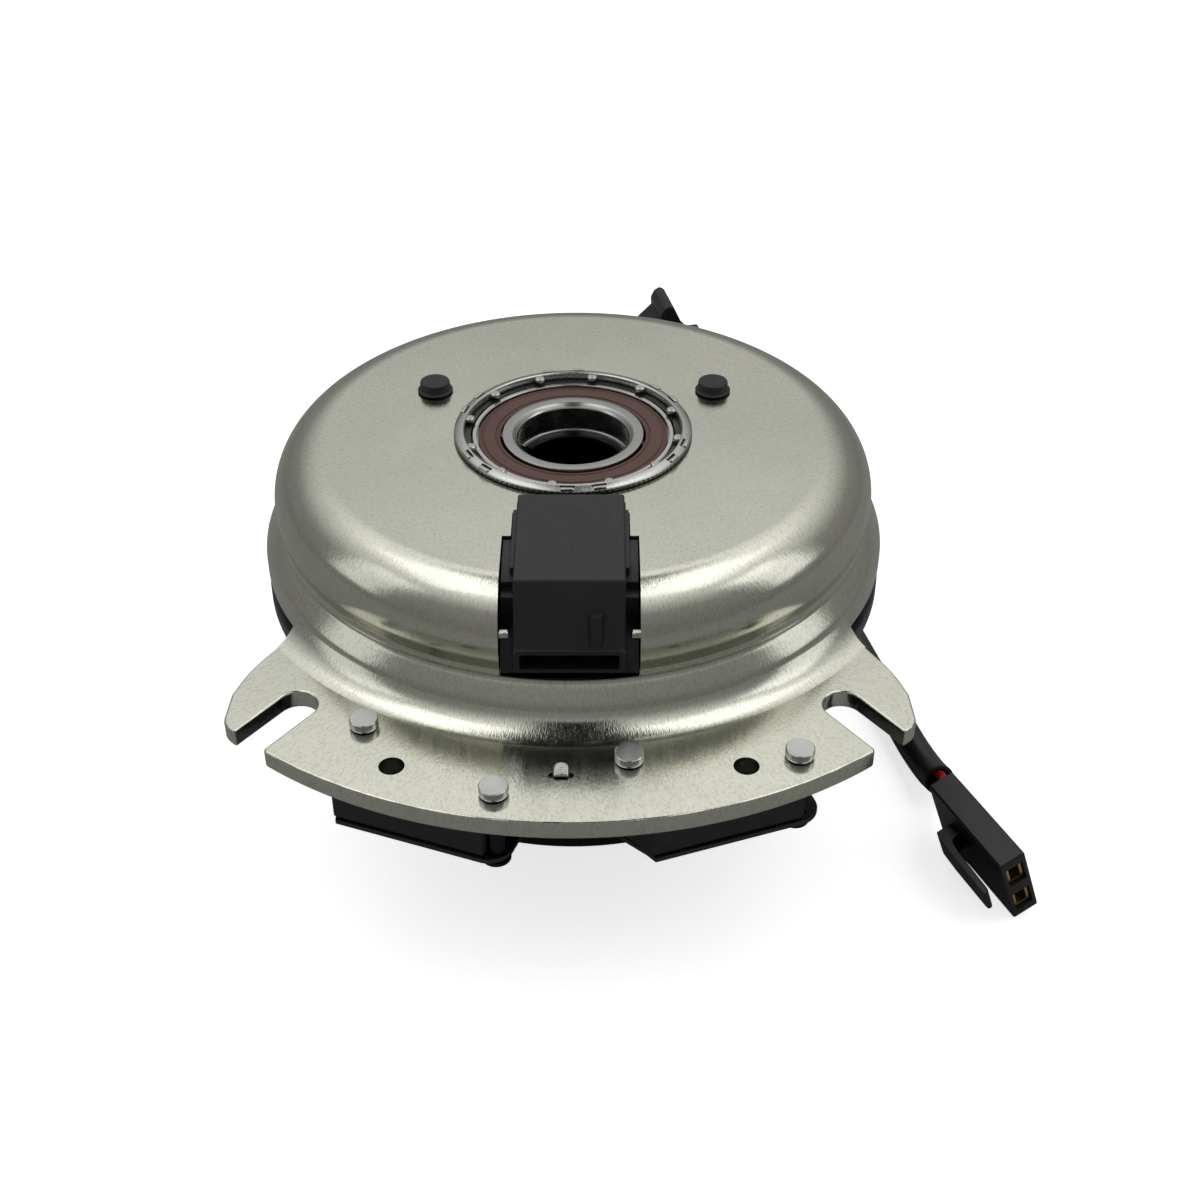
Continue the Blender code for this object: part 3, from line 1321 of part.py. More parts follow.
def rear_plug(end, away):
    """Far end of the lead: a collar round the sleeve's end, and a keyed body with a tall ridge."""
    collar_low = (REAR_COLLAR_LEFT, 0.0, 0.0)
    collar_high = (REAR_COLLAR_RIGHT, REAR_COLLAR_LENGTH, REAR_COLLAR_HEIGHT)
    body = block("lead_rear_plug", collar_low, collar_high, "black_plastic")
    join(body, front_extruded("keyed_body", REAR_BODY, REAR_BODY_START, REAR_BODY_END))
    mouth_low = (REAR_MOUTH_LEFT, REAR_BODY_END - REAR_MOUTH_DEPTH, REAR_MOUTH_LOW)
    mouth_high = (REAR_MOUTH_RIGHT, REAR_BODY_END + CUT_MARGIN, REAR_MOUTH_HIGH)
    cut(body, block("mouth", mouth_low, mouth_high))
    place = end + away * GAP
    body.location = (place.x, place.y, GAP)
    body.rotation_euler.z = math.radians(REAR_PLUG_YAW)
    return body


def lead():
    """Sleeve, its two wires and both ends of the loose lead."""
    route = [Vector(point) * MM for point in SLEEVE_ROUTE]
    tube("lead_sleeve", [tuple(point) for point in route], SLEEVE_DIAMETER, "black_rubber", 12)
    away = (route[-1] - route[-2]).normalized()
    start = route[-1] + away * GAP
    lead_wire("lead_wire_red", 1, "red_wire", start, away)
    lead_wire("lead_wire_black", -1, "black_rubber", start, away)
    lead_plug()
    for where in WAY_LEVELS:
        lead_terminal(where)
    rear_plug(route[0], (route[0] - route[1]).normalized())


def field():
    """What stands still: housing, coil, connector, brakes and the loose lead."""
    field_shell()
    bearing_seat()
    lock_ring()
    coil()
    connector_housing()
    terminal_block("socket_terminal_left", -1, 0.0, 0.0, "brass")
    terminal_block("socket_terminal_right", 1, 0.0, 0.0, "brass")
    vent_plug("vent_plug_left", -1)
    vent_plug("vent_plug_right", 1)
    for side in BRAKE_ANGLES:
        brake(side)
    for index in range(len(RIVET_PLACES)):
        brake_rivet(index)
    lead()


def build():
    clear_scene()
    field()
    field_bearing = bearing(
        "field_bearing", TOP_BORE, TOP_OUTSIDE, TOP_WIDTH, TOP_BEARING_TOP, "brown_rubber"
    )
    pulley_bearing = bearing(
        "pulley_bearing", LOW_BORE, LOW_OUTSIDE, LOW_WIDTH, LOW_BEARING_TOP, "black_rubber"
    )
    journal = LOW_BORE / 2 - GAP / 2
    housing_bore = LOW_OUTSIDE / 2 + GAP / 2
    snap_top = FLANGE_TOP + LOW_BEARING_TOP - LOW_WIDTH - 1.5 * GAP
    inner = journal - SNAP_DEPTH + GAP
    hub_snap = snap_ring("hub_snap_ring", inner, inner + SNAP_WIDTH, snap_top, HUB_SNAP_ANGLE, "spring_steel")
    outer = housing_bore + SNAP_DEPTH - GAP
    pulley_snap = snap_ring(
        "pulley_snap_ring", outer - SNAP_WIDTH, outer, snap_top, PULLEY_SNAP_ANGLE, "spring_steel"
    )
    inner_rings = [field_bearing["inner_ring"], pulley_bearing["inner_ring"]]
    carry("rotor_axis", [hub(), rotor_disc(), hub_snap] + inner_rings)
    springs = [leaf_spring(index) for index in range(SPRING_COUNT)]
    pulley_rivets = [pulley_rivet(index) for index in range(SPRING_COUNT)]
    turning = [piece for name, piece in pulley_bearing.items() if name != "inner_ring"]
    carry("pulley_axis", [pulley(), pulley_snap] + turning + springs + pulley_rivets)
    armature_rivets = [armature_rivet(index) for index in range(SPRING_COUNT)]
    carry("armature_axis", [armature_plate()] + armature_rivets)


build()
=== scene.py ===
# %% [markdown]
# # Dressing an electric clutch
# A belt clutch for a mower stands on its pulley, with the domed coil housing on top and its lead beside it.
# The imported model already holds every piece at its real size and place. It is plain and faceted, so this
# notebook models the visible pieces again with fine round forms and gives every piece its finish.
# It starts by loading that model, because each new piece takes its size and place from it.

# %% Load the frame
import json
import math

import bpy
from mathutils import Matrix, Vector


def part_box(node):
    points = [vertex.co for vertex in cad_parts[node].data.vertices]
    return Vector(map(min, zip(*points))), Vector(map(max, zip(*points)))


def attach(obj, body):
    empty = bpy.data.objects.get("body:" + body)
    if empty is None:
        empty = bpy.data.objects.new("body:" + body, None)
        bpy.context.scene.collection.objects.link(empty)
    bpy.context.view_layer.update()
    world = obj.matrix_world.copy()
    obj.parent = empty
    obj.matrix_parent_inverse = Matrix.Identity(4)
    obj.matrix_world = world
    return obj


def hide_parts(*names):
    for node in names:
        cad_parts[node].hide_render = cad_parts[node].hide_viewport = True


MM = 0.001
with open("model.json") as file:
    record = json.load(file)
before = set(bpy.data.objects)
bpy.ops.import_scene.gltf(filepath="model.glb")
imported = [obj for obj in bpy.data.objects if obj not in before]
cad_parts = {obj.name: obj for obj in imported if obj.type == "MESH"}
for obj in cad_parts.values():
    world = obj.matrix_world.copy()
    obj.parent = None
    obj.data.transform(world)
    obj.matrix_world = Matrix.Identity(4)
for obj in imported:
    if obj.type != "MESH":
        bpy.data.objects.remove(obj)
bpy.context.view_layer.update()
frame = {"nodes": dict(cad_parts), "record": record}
nodes = frame["nodes"]
mounts = {mount["name"]: Vector(mount["pos_m"]) for mount in frame["record"]["mounts"]}
flange_top = mounts["flange_face"].z
print("pieces:", len(nodes), "flange top at", round(flange_top / MM, 1), "mm")

# %% [markdown]
# The photograph looks down on the clutch by about 36 degrees from half a metre away. A real camera could be
# placed by eye, but the circles of the bearing and the flange give its place: they only come out round in
# one view. The camera looks straight along +Y, so it is only tipped about X.

# %% Camera
CAMERA_PLACE = (7.3 * MM, -403.2 * MM, 327.3 * MM)
CAMERA_TILT = 36.26
camera_data = bpy.data.cameras.new("camera")
camera_data.sensor_width = 36
camera_data.lens = 51.7
camera = bpy.data.objects.new("camera", camera_data)
bpy.context.collection.objects.link(camera)
camera.location = CAMERA_PLACE
camera.rotation_euler.x = math.radians(90 - CAMERA_TILT)
bpy.context.scene.camera = camera
bpy.context.scene.view_settings.view_transform = "Standard"
print("camera", [round(value, 3) for value in camera.location])

# %% [markdown]
# Bare zinc plate shows what stands round it, so the light is part of the finish. The studio has a white
# floor, two lamps overhead with a dark gap between them, and a soft lamp at each side. The world is a sky
# that grows brighter from the horizon up, and towards the back, which draws the broad soft reflections on
# dome and flange. Its gap overhead puts the dark patch into the flare in front. The camera sees floor and
# world as white, but the zinc sees the darker floor of a room, as its side does in the photograph.

# %% Studio
FLOOR_WHITE = 0.85
FLOOR_IN_ZINC = 0.34
FLOOR_GLOW = 0.72
FLOOR_DROP = 0.2 * MM
SKY_LEAN = math.radians(15)
SKY_COLOUR = (1.0, 1.0, 0.985, 1)
WHITE = (1, 1, 1, 1)
GAP_HALF = 0.16
GAP_EDGE = 0.02
GAP_START, GAP_FULL = 0.76, 0.84
SKY_LEVELS = [
    (0.0, 0.20), (0.46, 0.27), (0.60, 0.45), (0.68, 0.60), (0.78, 0.80), (0.85, 1.12), (0.93, 1.25),
    (1.0, 1.30),
]


def feed(tree, value, socket):
    """Link a socket to another node's output, or set its plain value."""
    if isinstance(value, bpy.types.NodeSocket):
        tree.links.new(value, socket)
    else:
        socket.default_value = value


def node(tree, kind, *feeds, **values):
    """Add a shader node. Feeds go to its sockets in order, values to its sockets or settings by name."""
    made = tree.nodes.new(kind)
    for name, value in values.items():
        socket = name.replace("_", " ")
        if socket in made.inputs:
            feed(tree, value, made.inputs[socket])
        else:
            setattr(made, name, value)
    for value, socket in zip(feeds, made.inputs):
        feed(tree, value, socket)
    return made


def maths(tree, operation, *parts):
    """The result of one sum over sockets and numbers."""
    return node(tree, "ShaderNodeMath", *parts, operation=operation).outputs[0]


def blend(tree, factor, first, second, kind="MIX"):
    """Mix two colours, or a socket and a colour, by a pattern."""
    made = node(tree, "ShaderNodeMix", factor, data_type="RGBA", blend_type=kind)
    for colour, socket in ((first, made.inputs[6]), (second, made.inputs[7])):
        feed(tree, colour if isinstance(colour, bpy.types.NodeSocket) else (*colour, 1), socket)
    return made.outputs[2]


def camera_ray(tree):
    return node(tree, "ShaderNodeLightPath").outputs["Is Camera Ray"]


def studio_floor():
    bpy.ops.mesh.primitive_plane_add(size=6, location=(0, 0, -FLOOR_DROP))
    floor = bpy.context.object
    floor.name = "studio_floor"
    paint = bpy.data.materials.new("studio_white")
    paint.use_nodes = True
    tree = paint.node_tree
    shader = tree.nodes["Principled BSDF"]
    shader.inputs["Roughness"].default_value = 0.9
    shader.inputs["Specular IOR Level"].default_value = 0.1
    seen = camera_ray(tree)
    feed(tree, blend(tree, seen, (FLOOR_IN_ZINC,) * 3, (FLOOR_WHITE,) * 3), shader.inputs["Base Color"])
    strength = maths(tree, "MULTIPLY", seen, FLOOR_GLOW)
    glow = node(tree, "ShaderNodeEmission", Color=WHITE, Strength=strength)
    total = node(tree, "ShaderNodeAddShader", shader.outputs[0], glow.outputs[0])
    feed(tree, total.outputs[0], tree.nodes["Material Output"].inputs["Surface"])
    floor.data.materials.append(paint)


def studio_world():
    world = bpy.data.worlds.new("studio")
    world.use_nodes = True
    bpy.context.scene.world = world
    tree = world.node_tree
    sky = tree.nodes["Background"]
    place = node(tree, "ShaderNodeTexCoord").outputs["Generated"]
    lean = (0.0, math.sin(SKY_LEAN), math.cos(SKY_LEAN))
    upward = node(tree, "ShaderNodeVectorMath", place, lean, operation="DOT_PRODUCT").outputs["Value"]
    levels = node(tree, "ShaderNodeValToRGB", Fac=upward)
    ramp = levels.color_ramp
    for position, value in SKY_LEVELS[1:-1]:
        ramp.elements.new(position)
    for element, (position, value) in zip(ramp.elements, SKY_LEVELS):
        element.position = position
        element.color = (value, value, value, 1)
    axes = node(tree, "ShaderNodeSeparateXYZ", place).outputs
    beside = maths(tree, "ABSOLUTE", axes["X"])
    away = node(tree, "ShaderNodeMapRange", beside, GAP_HALF - GAP_EDGE, GAP_HALF + GAP_EDGE)
    low = node(tree, "ShaderNodeMapRange", axes["Z"], GAP_START, GAP_FULL, 1.0, 0.0)
    lit = node(
        tree, "ShaderNodeMath", away.outputs[0], low.outputs[0], operation="MAXIMUM", use_clamp=True
    )
    level = maths(tree, "MULTIPLY", lit.outputs[0], levels.outputs["Color"])
    feed(tree, level, sky.inputs["Strength"])
    feed(tree, SKY_COLOUR, sky.inputs["Color"])
    white = node(tree, "ShaderNodeBackground", Color=WHITE, Strength=1.0)
    mix = node(tree, "ShaderNodeMixShader", camera_ray(tree), sky.outputs[0], white.outputs[0])
    feed(tree, mix.outputs[0], tree.nodes["World Output"].inputs["Surface"])


def lamp(name, place, size, power, aim=(0.0, 0.0, 0.06)):
    """A rectangular soft lamp that faces the object."""
    data = bpy.data.lights.new(name, "AREA")
    data.shape = "RECTANGLE"
    data.size, data.size_y = size
    data.energy = power
    made = bpy.data.objects.new(name, data)
    bpy.context.collection.objects.link(made)
    made.location = place
    made.rotation_euler = (Vector(aim) - Vector(place)).to_track_quat("-Z", "Y").to_euler()
    return made


studio_floor()
studio_world()
for side in (-1, 1):
    lamp("lamp_overhead", (side * 0.36, 0.12, 0.95), (0.38, 0.6), 0.45, (side * 0.36, 0.12, 0.0))
lamp("lamp_left", (-0.85, -0.15, 0.50), (0.35, 0.7), 0.5)
lamp("lamp_right", (0.85, -0.10, 0.55), (0.35, 0.7), 0.7)

# %% [markdown]
# The lead is limp cable in a smooth black sleeve. It lies along the floor from the plug behind the housing
# to the plug in front on the right, where the sleeve is cut open round its two wires. A curve draws the
# sleeve, because its points are the route itself and a smooth line through them can't look bent. Its front
# end is then bored, which only a mesh allows, so the curve is turned into a mesh first.

# %% The lead's sleeve
SLEEVE_DIAMETER = 8.5 * MM
SLEEVE_BORE = 6.7 * MM
SLEEVE_BORE_DEPTH = 7 * MM
SLEEVE_ROUTE = [
    (42.5, 203.0, 5.8), (44.3, 194.5, 5.8), (46.7, 184.5, 5.2), (49.0, 175.0, 4.7),
    (53.4, 157.0, 4.6), (57.6, 138.0, 4.6), (61.9, 119.0, 4.6), (66.1, 100.0, 4.6),
    (70.4, 81.0, 4.6), (74.6, 62.0, 4.6), (78.9, 43.0, 4.6), (83.1, 24.0, 4.6),
    (87.4, 5.0, 4.6), (91.6, -14.0, 4.6), (95.8, -33.0, 4.9), (98.6, -45.0, 6.4),
    (100.2, -52.0, 8.6),
]


def smooth_route(points, steps=4):
    """Points on one smooth curve that passes through all the given ones."""
    ends = [points[0] * 2 - points[1]] + points + [points[-1] * 2 - points[-2]]
    route = []
    for before, here, there, after in zip(ends, ends[1:], ends[2:], ends[3:]):
        for step in range(steps):
            t = step / steps
            bend = here * 2 + (there - before) * t
            bend += (before * 2 - here * 5 + there * 4 - after) * t ** 2
            bend += (here * 3 - there * 3 + after - before) * t ** 3
            route.append(bend / 2)
    return route + [points[-1]]


def cable(name, points, diameter, sides=8):
    """A round cable along its points."""
    curve = bpy.data.curves.new(name, "CURVE")
    curve.dimensions = "3D"
    curve.bevel_depth = diameter / 2
    curve.bevel_resolution = sides
    curve.use_fill_caps = True
    spline = curve.splines.new("POLY")
    spline.points.add(len(points) - 1)
    for point, place in zip(spline.points, points):
        point.co = (*place, 1.0)
    piece = bpy.data.objects.new(name, curve)
    bpy.context.collection.objects.link(piece)
    return piece


sleeve_points = [Vector(point) * MM for point in SLEEVE_ROUTE]
sleeve_line = smooth_route(sleeve_points)
sleeve = cable("cable_sleeve", sleeve_line, SLEEVE_DIAMETER)

# %% [markdown]
# Every new piece starts as a line that is drawn point by point, the way one extrudes a vertex by hand. A
# turned part is half a section spun round the shaft, and a plate is an outline filled and pulled up. These
# helpers hold the few steps that repeat: draw, spin, pull, round the edges, cut and finish.

# %% Modelling helpers
ROUND_STEPS = 192
MERGE = 0.001 * MM


def draw(name, points, closed=True):
    """Extrude one vertex from point to point, and leave the line selected in edit mode."""
    bpy.ops.object.select_all(action="DESELECT")
    bpy.ops.mesh.primitive_plane_add(size=MM, location=points[0])
    piece = bpy.context.object
    piece.name = name
    piece.data.name = name
    bpy.ops.object.mode_set(mode="EDIT")
    bpy.ops.mesh.select_all(action="SELECT")
    bpy.ops.mesh.merge(type="CENTER")
    stops = points[1:] + points[:1] if closed else points[1:]
    here = Vector(points[0])
    for stop in stops:
        bpy.ops.mesh.extrude_region_move(TRANSFORM_OT_translate={"value": Vector(stop) - here})
        here = Vector(stop)
    bpy.ops.mesh.select_all(action="SELECT")
    bpy.ops.mesh.remove_doubles(threshold=MERGE)
    return piece


def close_up(piece):
    """Merge doubles, turn all faces outwards and leave edit mode with the place in the mesh."""
    bpy.ops.mesh.select_all(action="SELECT")
    bpy.ops.mesh.remove_doubles(threshold=MERGE)
    bpy.ops.mesh.normals_make_consistent(inside=False)
    bpy.ops.object.mode_set(mode="OBJECT")
    bpy.ops.object.transform_apply(location=True, rotation=True, scale=True)
    return piece


def spun(name, section, steps=ROUND_STEPS, closed=True, place=(0.0, 0.0)):
    """Spin a half section of (radius, height) points about an upright axis, by default the shaft's."""
    piece = draw(name, [(place[0] + radius, place[1], height) for radius, height in section], closed)
    bpy.ops.mesh.spin(steps=steps, angle=math.tau, center=(place[0], place[1], 0), axis=(0, 0, 1))
    return close_up(piece)


def slab(name, outline, bottom, top):
    """Fill a flat outline of (x, y) points and pull it up to a plate."""
    piece = draw(name, [(x, y, bottom) for x, y in outline])
    bpy.ops.mesh.edge_face_add()
    bpy.ops.mesh.extrude_region_move(TRANSFORM_OT_translate={"value": (0, 0, top - bottom)})
    return close_up(piece)


def side_slab(name, outline, left, right):
    """Fill an upright outline of (y, z) points and pull it along X."""
    piece = draw(name, [(left, y, z) for y, z in outline])
    bpy.ops.mesh.edge_face_add()
    bpy.ops.mesh.extrude_region_move(TRANSFORM_OT_translate={"value": (right - left, 0, 0)})
    return close_up(piece)


def box(name, low, high):
    """A box between two corners."""
    outline = [(low[0], low[1]), (high[0], low[1]), (high[0], high[1]), (low[0], high[1])]
    return slab(name, outline, low[2], high[2])


def peg(name, radius, bottom, top, place=(0.0, 0.0), sides=48):
    """An upright round peg, drawn by the cylinder primitive at its place."""
    bpy.ops.object.select_all(action="DESELECT")
    middle = (place[0], place[1], (bottom + top) / 2)
    bpy.ops.mesh.primitive_cylinder_add(vertices=sides, radius=radius, depth=top - bottom, location=middle)
    piece = bpy.context.object
    piece.name = name
    bpy.ops.object.transform_apply(location=True, rotation=True, scale=True)
    return piece


def choose(piece):
    bpy.ops.object.select_all(action="DESELECT")
    piece.select_set(True)
    bpy.context.view_layer.objects.active = piece


def modify(piece, kind, **settings):
    """Add a modifier, set it and apply it."""
    choose(piece)
    modifier = piece.modifiers.new(kind.lower(), kind)
    for name, value in settings.items():
        setattr(modifier, name, value)
    bpy.ops.object.modifier_apply(modifier=modifier.name)
    return piece


def soften(piece, width, segments=3, angle=40):
    """Round every edge that is sharper than the angle."""
    return modify(
        piece, "BEVEL", width=width, segments=segments, limit_method="ANGLE", angle_limit=math.radians(angle)
    )


def combine(piece, others, operation):
    for other in others:
        modify(piece, "BOOLEAN", operation=operation, solver="EXACT", object=other)
        bpy.data.objects.remove(other, do_unlink=True)
    return piece


def cut(piece, *others):
    return combine(piece, others, "DIFFERENCE")


def join(piece, *others):
    return combine(piece, others, "UNION")


def move(piece, matrix):
    """Bring a piece from where it was drawn to its place, and keep that in its mesh."""
    piece.matrix_world = matrix
    choose(piece)
    bpy.ops.object.transform_apply(location=True, rotation=True, scale=True)
    return piece


def turn(piece, degrees):
    """Turn a piece about the shaft's axis."""
    return move(piece, Matrix.Rotation(math.radians(degrees), 4, "Z"))


def gather(pieces):
    """Make separate solids one object, so that one cut takes them all."""
    choose(pieces[0])
    for piece in pieces:
        piece.select_set(True)
    bpy.ops.object.join()
    return bpy.context.object


def polar(radius, degrees):
    angle = math.radians(degrees)
    return (radius * math.cos(angle), radius * math.sin(angle))


def arc(radius, start, end, steps, centre=(0.0, 0.0)):
    """Points on an arc, both ends among them."""
    points = []
    for step in range(steps + 1):
        x, y = polar(radius, start + (end - start) * step / steps)
        points.append((centre[0] + x, centre[1] + y))
    return points


def rounded_corner(before, corner, after, radius, steps=6):
    """Points that round off the corner between two straight edges."""
    corner = Vector(corner)
    first = (Vector(before) - corner).normalized()
    second = (Vector(after) - corner).normalized()
    half = first.angle(second) / 2
    centre = corner + (first + second).normalized() * (radius / math.sin(half))
    start = corner + first * (radius / math.tan(half)) - centre
    end = corner + second * (radius / math.tan(half)) - centre
    points = []
    for step in range(steps + 1):
        point = centre + start.lerp(end, step / steps).normalized() * radius
        points.append((point.x, point.y))
    return points


def metres(points):
    """The same points, given in millimetres."""
    return [(first * MM, second * MM) for first, second in points]


def lifted(section):
    """Raise a section drawn from the flange's top face to its real height."""
    return [(radius, z + flange_top) for radius, z in section]


def in_mm(section):
    """A section in millimetres from the flange's top face, at its real size and height."""
    return lifted(metres(section))


def finish(piece, material, body, slot, *replaced, angle=32):
    """Shade, paint, weight the normals to the large faces, and hand the piece over."""
    choose(piece)
    bpy.ops.object.shade_smooth_by_angle(angle=math.radians(angle))
    modify(piece, "WEIGHTED_NORMAL", keep_sharp=True)
    piece.data.materials.clear()
    piece.data.materials.append(material)
    if replaced:
        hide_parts(*replaced)
    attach(piece, body)
    print(piece.name, "faces:", len(piece.data.polygons))
    return piece


# %% [markdown]
# Drawn steel with a zinc plate is neither mirror nor paint. Its sheet has a fine leathery grain from the
# drawing press that runs away from the shaft, and the plate gives it a faint warm green. An image could be
# wrapped round it, but noise on polar coordinates follows the drawing direction at any size.

# %% Zinc plated steel


def new_finish(name, colour, roughness, metallic=0.0):
    """A material with its plain values set on the shader's own sockets."""
    made = bpy.data.materials.new(name)
    made.use_nodes = True
    dress(made, Base_Color=(*colour, 1), Roughness=roughness, Metallic=metallic)
    return made


def dress(material, **values):
    """Feed the sockets of a material's shader by name."""
    shader = material.node_tree.nodes["Principled BSDF"]
    for name, value in values.items():
        feed(material.node_tree, value, shader.inputs[name.replace("_", " ")])


def outward_reach(tree, axes):
    """How far a place stands from the upright axis."""
    flat = node(tree, "ShaderNodeCombineXYZ", axes["X"], axes["Y"]).outputs[0]
    return node(tree, "ShaderNodeVectorMath", flat, operation="LENGTH").outputs["Value"]


def polar_place(tree, around, outward):
    """Coordinates that run round the shaft and away from it, stretched by the two factors."""
    place = node(tree, "ShaderNodeTexCoord").outputs["Object"]
    axes = node(tree, "ShaderNodeSeparateXYZ", place).outputs
    angle = maths(tree, "ARCTAN2", axes["X"], maths(tree, "MULTIPLY", axes["Y"], -1.0))
    sources = ((angle, around), (outward_reach(tree, axes), outward), (axes["Z"], outward))
    scaled = [maths(tree, "MULTIPLY", source, factor) for source, factor in sources]
    return node(tree, "ShaderNodeCombineXYZ", *scaled).outputs[0]


def object_place(tree, scale=(1.0, 1.0, 1.0)):
    """Object coordinates, stretched."""
    place = node(tree, "ShaderNodeTexCoord").outputs["Object"]
    return node(tree, "ShaderNodeMapping", Vector=place, Scale=scale).outputs[0]


def noise(tree, vector, scale, detail=3.0, roughness=0.5, distortion=0.0):
    """Fine random grain."""
    made = node(tree, "ShaderNodeTexNoise", Vector=vector, Scale=scale, Detail=detail, Roughness=roughness)
    feed(tree, distortion, made.inputs["Distortion"])
    return made.outputs["Fac"]


def spread(tree, value, low, high, start=0.3, end=0.7):
    """Stretch a pattern's values to a new range."""
    return node(tree, "ShaderNodeMapRange", value, start, end, low, high).outputs["Result"]


def bump(tree, height, strength, distance, below=None):
    made = node(tree, "ShaderNodeBump", Strength=strength, Distance=distance, Height=height)
    if below is not None:
        feed(tree, below, made.inputs["Normal"])
    return made.outputs[0]


def across_rings(tree, centre):
    """A coordinate that only grows away from an upright axis, for the fine rings of a lathe."""
    place = node(tree, "ShaderNodeTexCoord").outputs["Object"]
    shift = node(tree, "ShaderNodeVectorMath", place, (centre[0], centre[1], 0), operation="SUBTRACT")
    axes = node(tree, "ShaderNodeSeparateXYZ", shift.outputs[0]).outputs
    return node(tree, "ShaderNodeCombineXYZ", X=outward_reach(tree, axes), Z=axes["Z"]).outputs[0]


def zinc_plate(name, light, dark, valley_shade, roughness, grain):
    """Zinc plate with a dense leathery grain, painted shade in the grain's valleys, soft cloudy tone and fine
    wear.
    """
    made = new_finish(name, light, roughness, 1.0)
    tree = made.node_tree
    along = polar_place(tree, 0.1, 0.36)
    cloud = noise(tree, object_place(tree), 30.0, 4.0)
    leather = noise(tree, along, 2300.0, 2.0, 0.55, 0.5)
    fine = noise(tree, along, 6000.0, 2.0)
    scuff = noise(tree, object_place(tree, (1.0, 0.12, 1.0)), 900.0, 3.0, 0.6)
    base = blend(tree, spread(tree, cloud, 0.0, 1.0), light, dark)
    # Painted shade: the grain's valleys are multiplied darker by the valley colour, as the shade that falls
    # into them.
    painted_valley_tone = blend(tree, spread(tree, leather, 1.0, 0.0, 0.36, 0.50), base, valley_shade, "MULTIPLY")
    worn = spread(tree, scuff, roughness * 0.85, roughness * 1.2)
    soft = bump(tree, leather, grain, 0.09 * MM)
    pressed = bump(tree, fine, grain * 0.4, 0.02 * MM, soft)
    flat = node(
        tree, "ShaderNodeVectorMath", object_place(tree), (1.0, 1.0, 0.0), operation="MULTIPLY"
    )
    away = node(tree, "ShaderNodeVectorMath", flat.outputs[0], operation="NORMALIZE").outputs[0]
    dress(made, Base_Color=painted_valley_tone, Roughness=worn, Normal=pressed, Anisotropic=0.35, Tangent=away)
    return made


# The third colour is the painted shade in the grain's valleys.
zinc = zinc_plate("zinc_plate", (0.66, 0.66, 0.575), (0.60, 0.605, 0.53), (0.84, 0.84, 0.83), 0.15, 0.26)
print("zinc plate nodes:", len(zinc.node_tree.nodes))

# %% [markdown]
# The housing is one drawn cup: a flat top, a soft shoulder, a shallow double groove, a bead, and a flange
# with two open slots that keep it from turning. One could sculpt it, but a press makes it from a section and
# an outline, so the same is done here. The section is spun, the flange is a filled outline with rounded
# edges, and a flare that only exists over the flange joins the two.

# %% Coil housing
shell_low, shell_high = (Vector(corner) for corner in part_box("field_shell"))
FLANGE_THICKNESS = 5 * MM
FLANGE_RADIUS = -shell_low.y
SHELL_TOP = shell_high.z - flange_top
SHELL_WALL = 4 * MM
COLLAR_RADIUS = 30.5 * MM
DOME_RADIUS = 81.4 * MM
SHOULDER = 14 * MM
BEAD_RADIUS = shell_high.y
BEAD_STEP = 3.2 * MM
BEAD = [
    (81.3, 9.6), (81.9, 8.9), (82.7, 7.9), (83.5, 6.9), (84.2, 6.0), (84.75, 5.1), (85.05, 4.2), (85.2, 3.2),
]
WAIST = [
    (81.35, 16.2), (81.0, 14.6), (80.5, 13.2), (80.35, 12.3), (80.7, 11.5), (80.85, 11.0), (80.75, 10.4),
    (80.95, 9.9),
]
RIM_BOTTOM = -0.8 * MM
FLARE_END = 93.0 * MM
FLARE = 9.6 * MM
SLOT_WIDTH = 10.2 * MM
SLOT_CENTRE = 102.2 * MM
SLOT_ANGLE = 41.2
SLOT_TURN = 36
SLOT_LIP = 1.2 * MM
ARM_SIDE = [(71.5, -47.24), (78.61, -59.02), (81.78, -65.87), (83.9, -72.68)]
ARM_ROOT = (60 * MM, -45 * MM)
ARM_CORNER = -44.8
ARM_ROUND = 5 * MM
HOLE_RADIUS = 3.1 * MM
HOLE_CIRCLE = 107.8 * MM
HOLE_ANGLE = 22.8
RIVET_HOLE = 2.7 * MM
PLUG_HOLE = 3.3 * MM
OPENING_LOW = 10.8 * MM
LUGS = (-15.7 * MM, 16.1 * MM)
LUG_HALF = 1.2 * MM
TAB_PLACE = (-1.8 * MM, -101.0 * MM)
TAB_WIDTH = 3.5 * MM
TAB_RISE = 1.25 * MM
TAB_LEAN = 5
DRILL_REACH = 9 * MM


def middle_of(name):
    """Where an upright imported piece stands."""
    low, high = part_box(name)
    return ((low[0] + high[0]) / 2, (low[1] + high[1]) / 2)


rivet_places = [middle_of("brake_rivet_" + str(rivet)) for rivet in range(1, 5)]
plug_places = {side: middle_of("vent_plug_" + side) for side in ("left", "right")}


def shell_section():
    flat = DOME_RADIUS - SHOULDER
    level = SHELL_TOP - SHOULDER
    outer = [(COLLAR_RADIUS, SHELL_TOP)] + arc(SHOULDER, 90, 0, 24, (flat, level))
    outer += metres(WAIST + BEAD)
    outer += [(BEAD_RADIUS, RIM_BOTTOM + 0.4 * MM), (BEAD_RADIUS - 0.4 * MM, RIM_BOTTOM)]
    inside = BEAD_RADIUS - SHELL_WALL
    inner = [(inside, RIM_BOTTOM), (inside, BEAD_STEP), (DOME_RADIUS - SHELL_WALL, BEAD_STEP + SHELL_WALL)]
    inner += arc(SHOULDER - SHELL_WALL, 0, 90, 6, (flat, level))
    inner.append((COLLAR_RADIUS, SHELL_TOP - SHELL_WALL))
    return outer + inner


def slot_corner(centre, outward, across, side):
    """Where a straight side of the slot meets the flange's edge."""
    start = centre + across * (side * SLOT_WIDTH / 2)
    along = start.dot(outward)
    reach = math.sqrt(along ** 2 - start.length_squared + FLANGE_RADIUS ** 2) - along
    return start + outward * reach


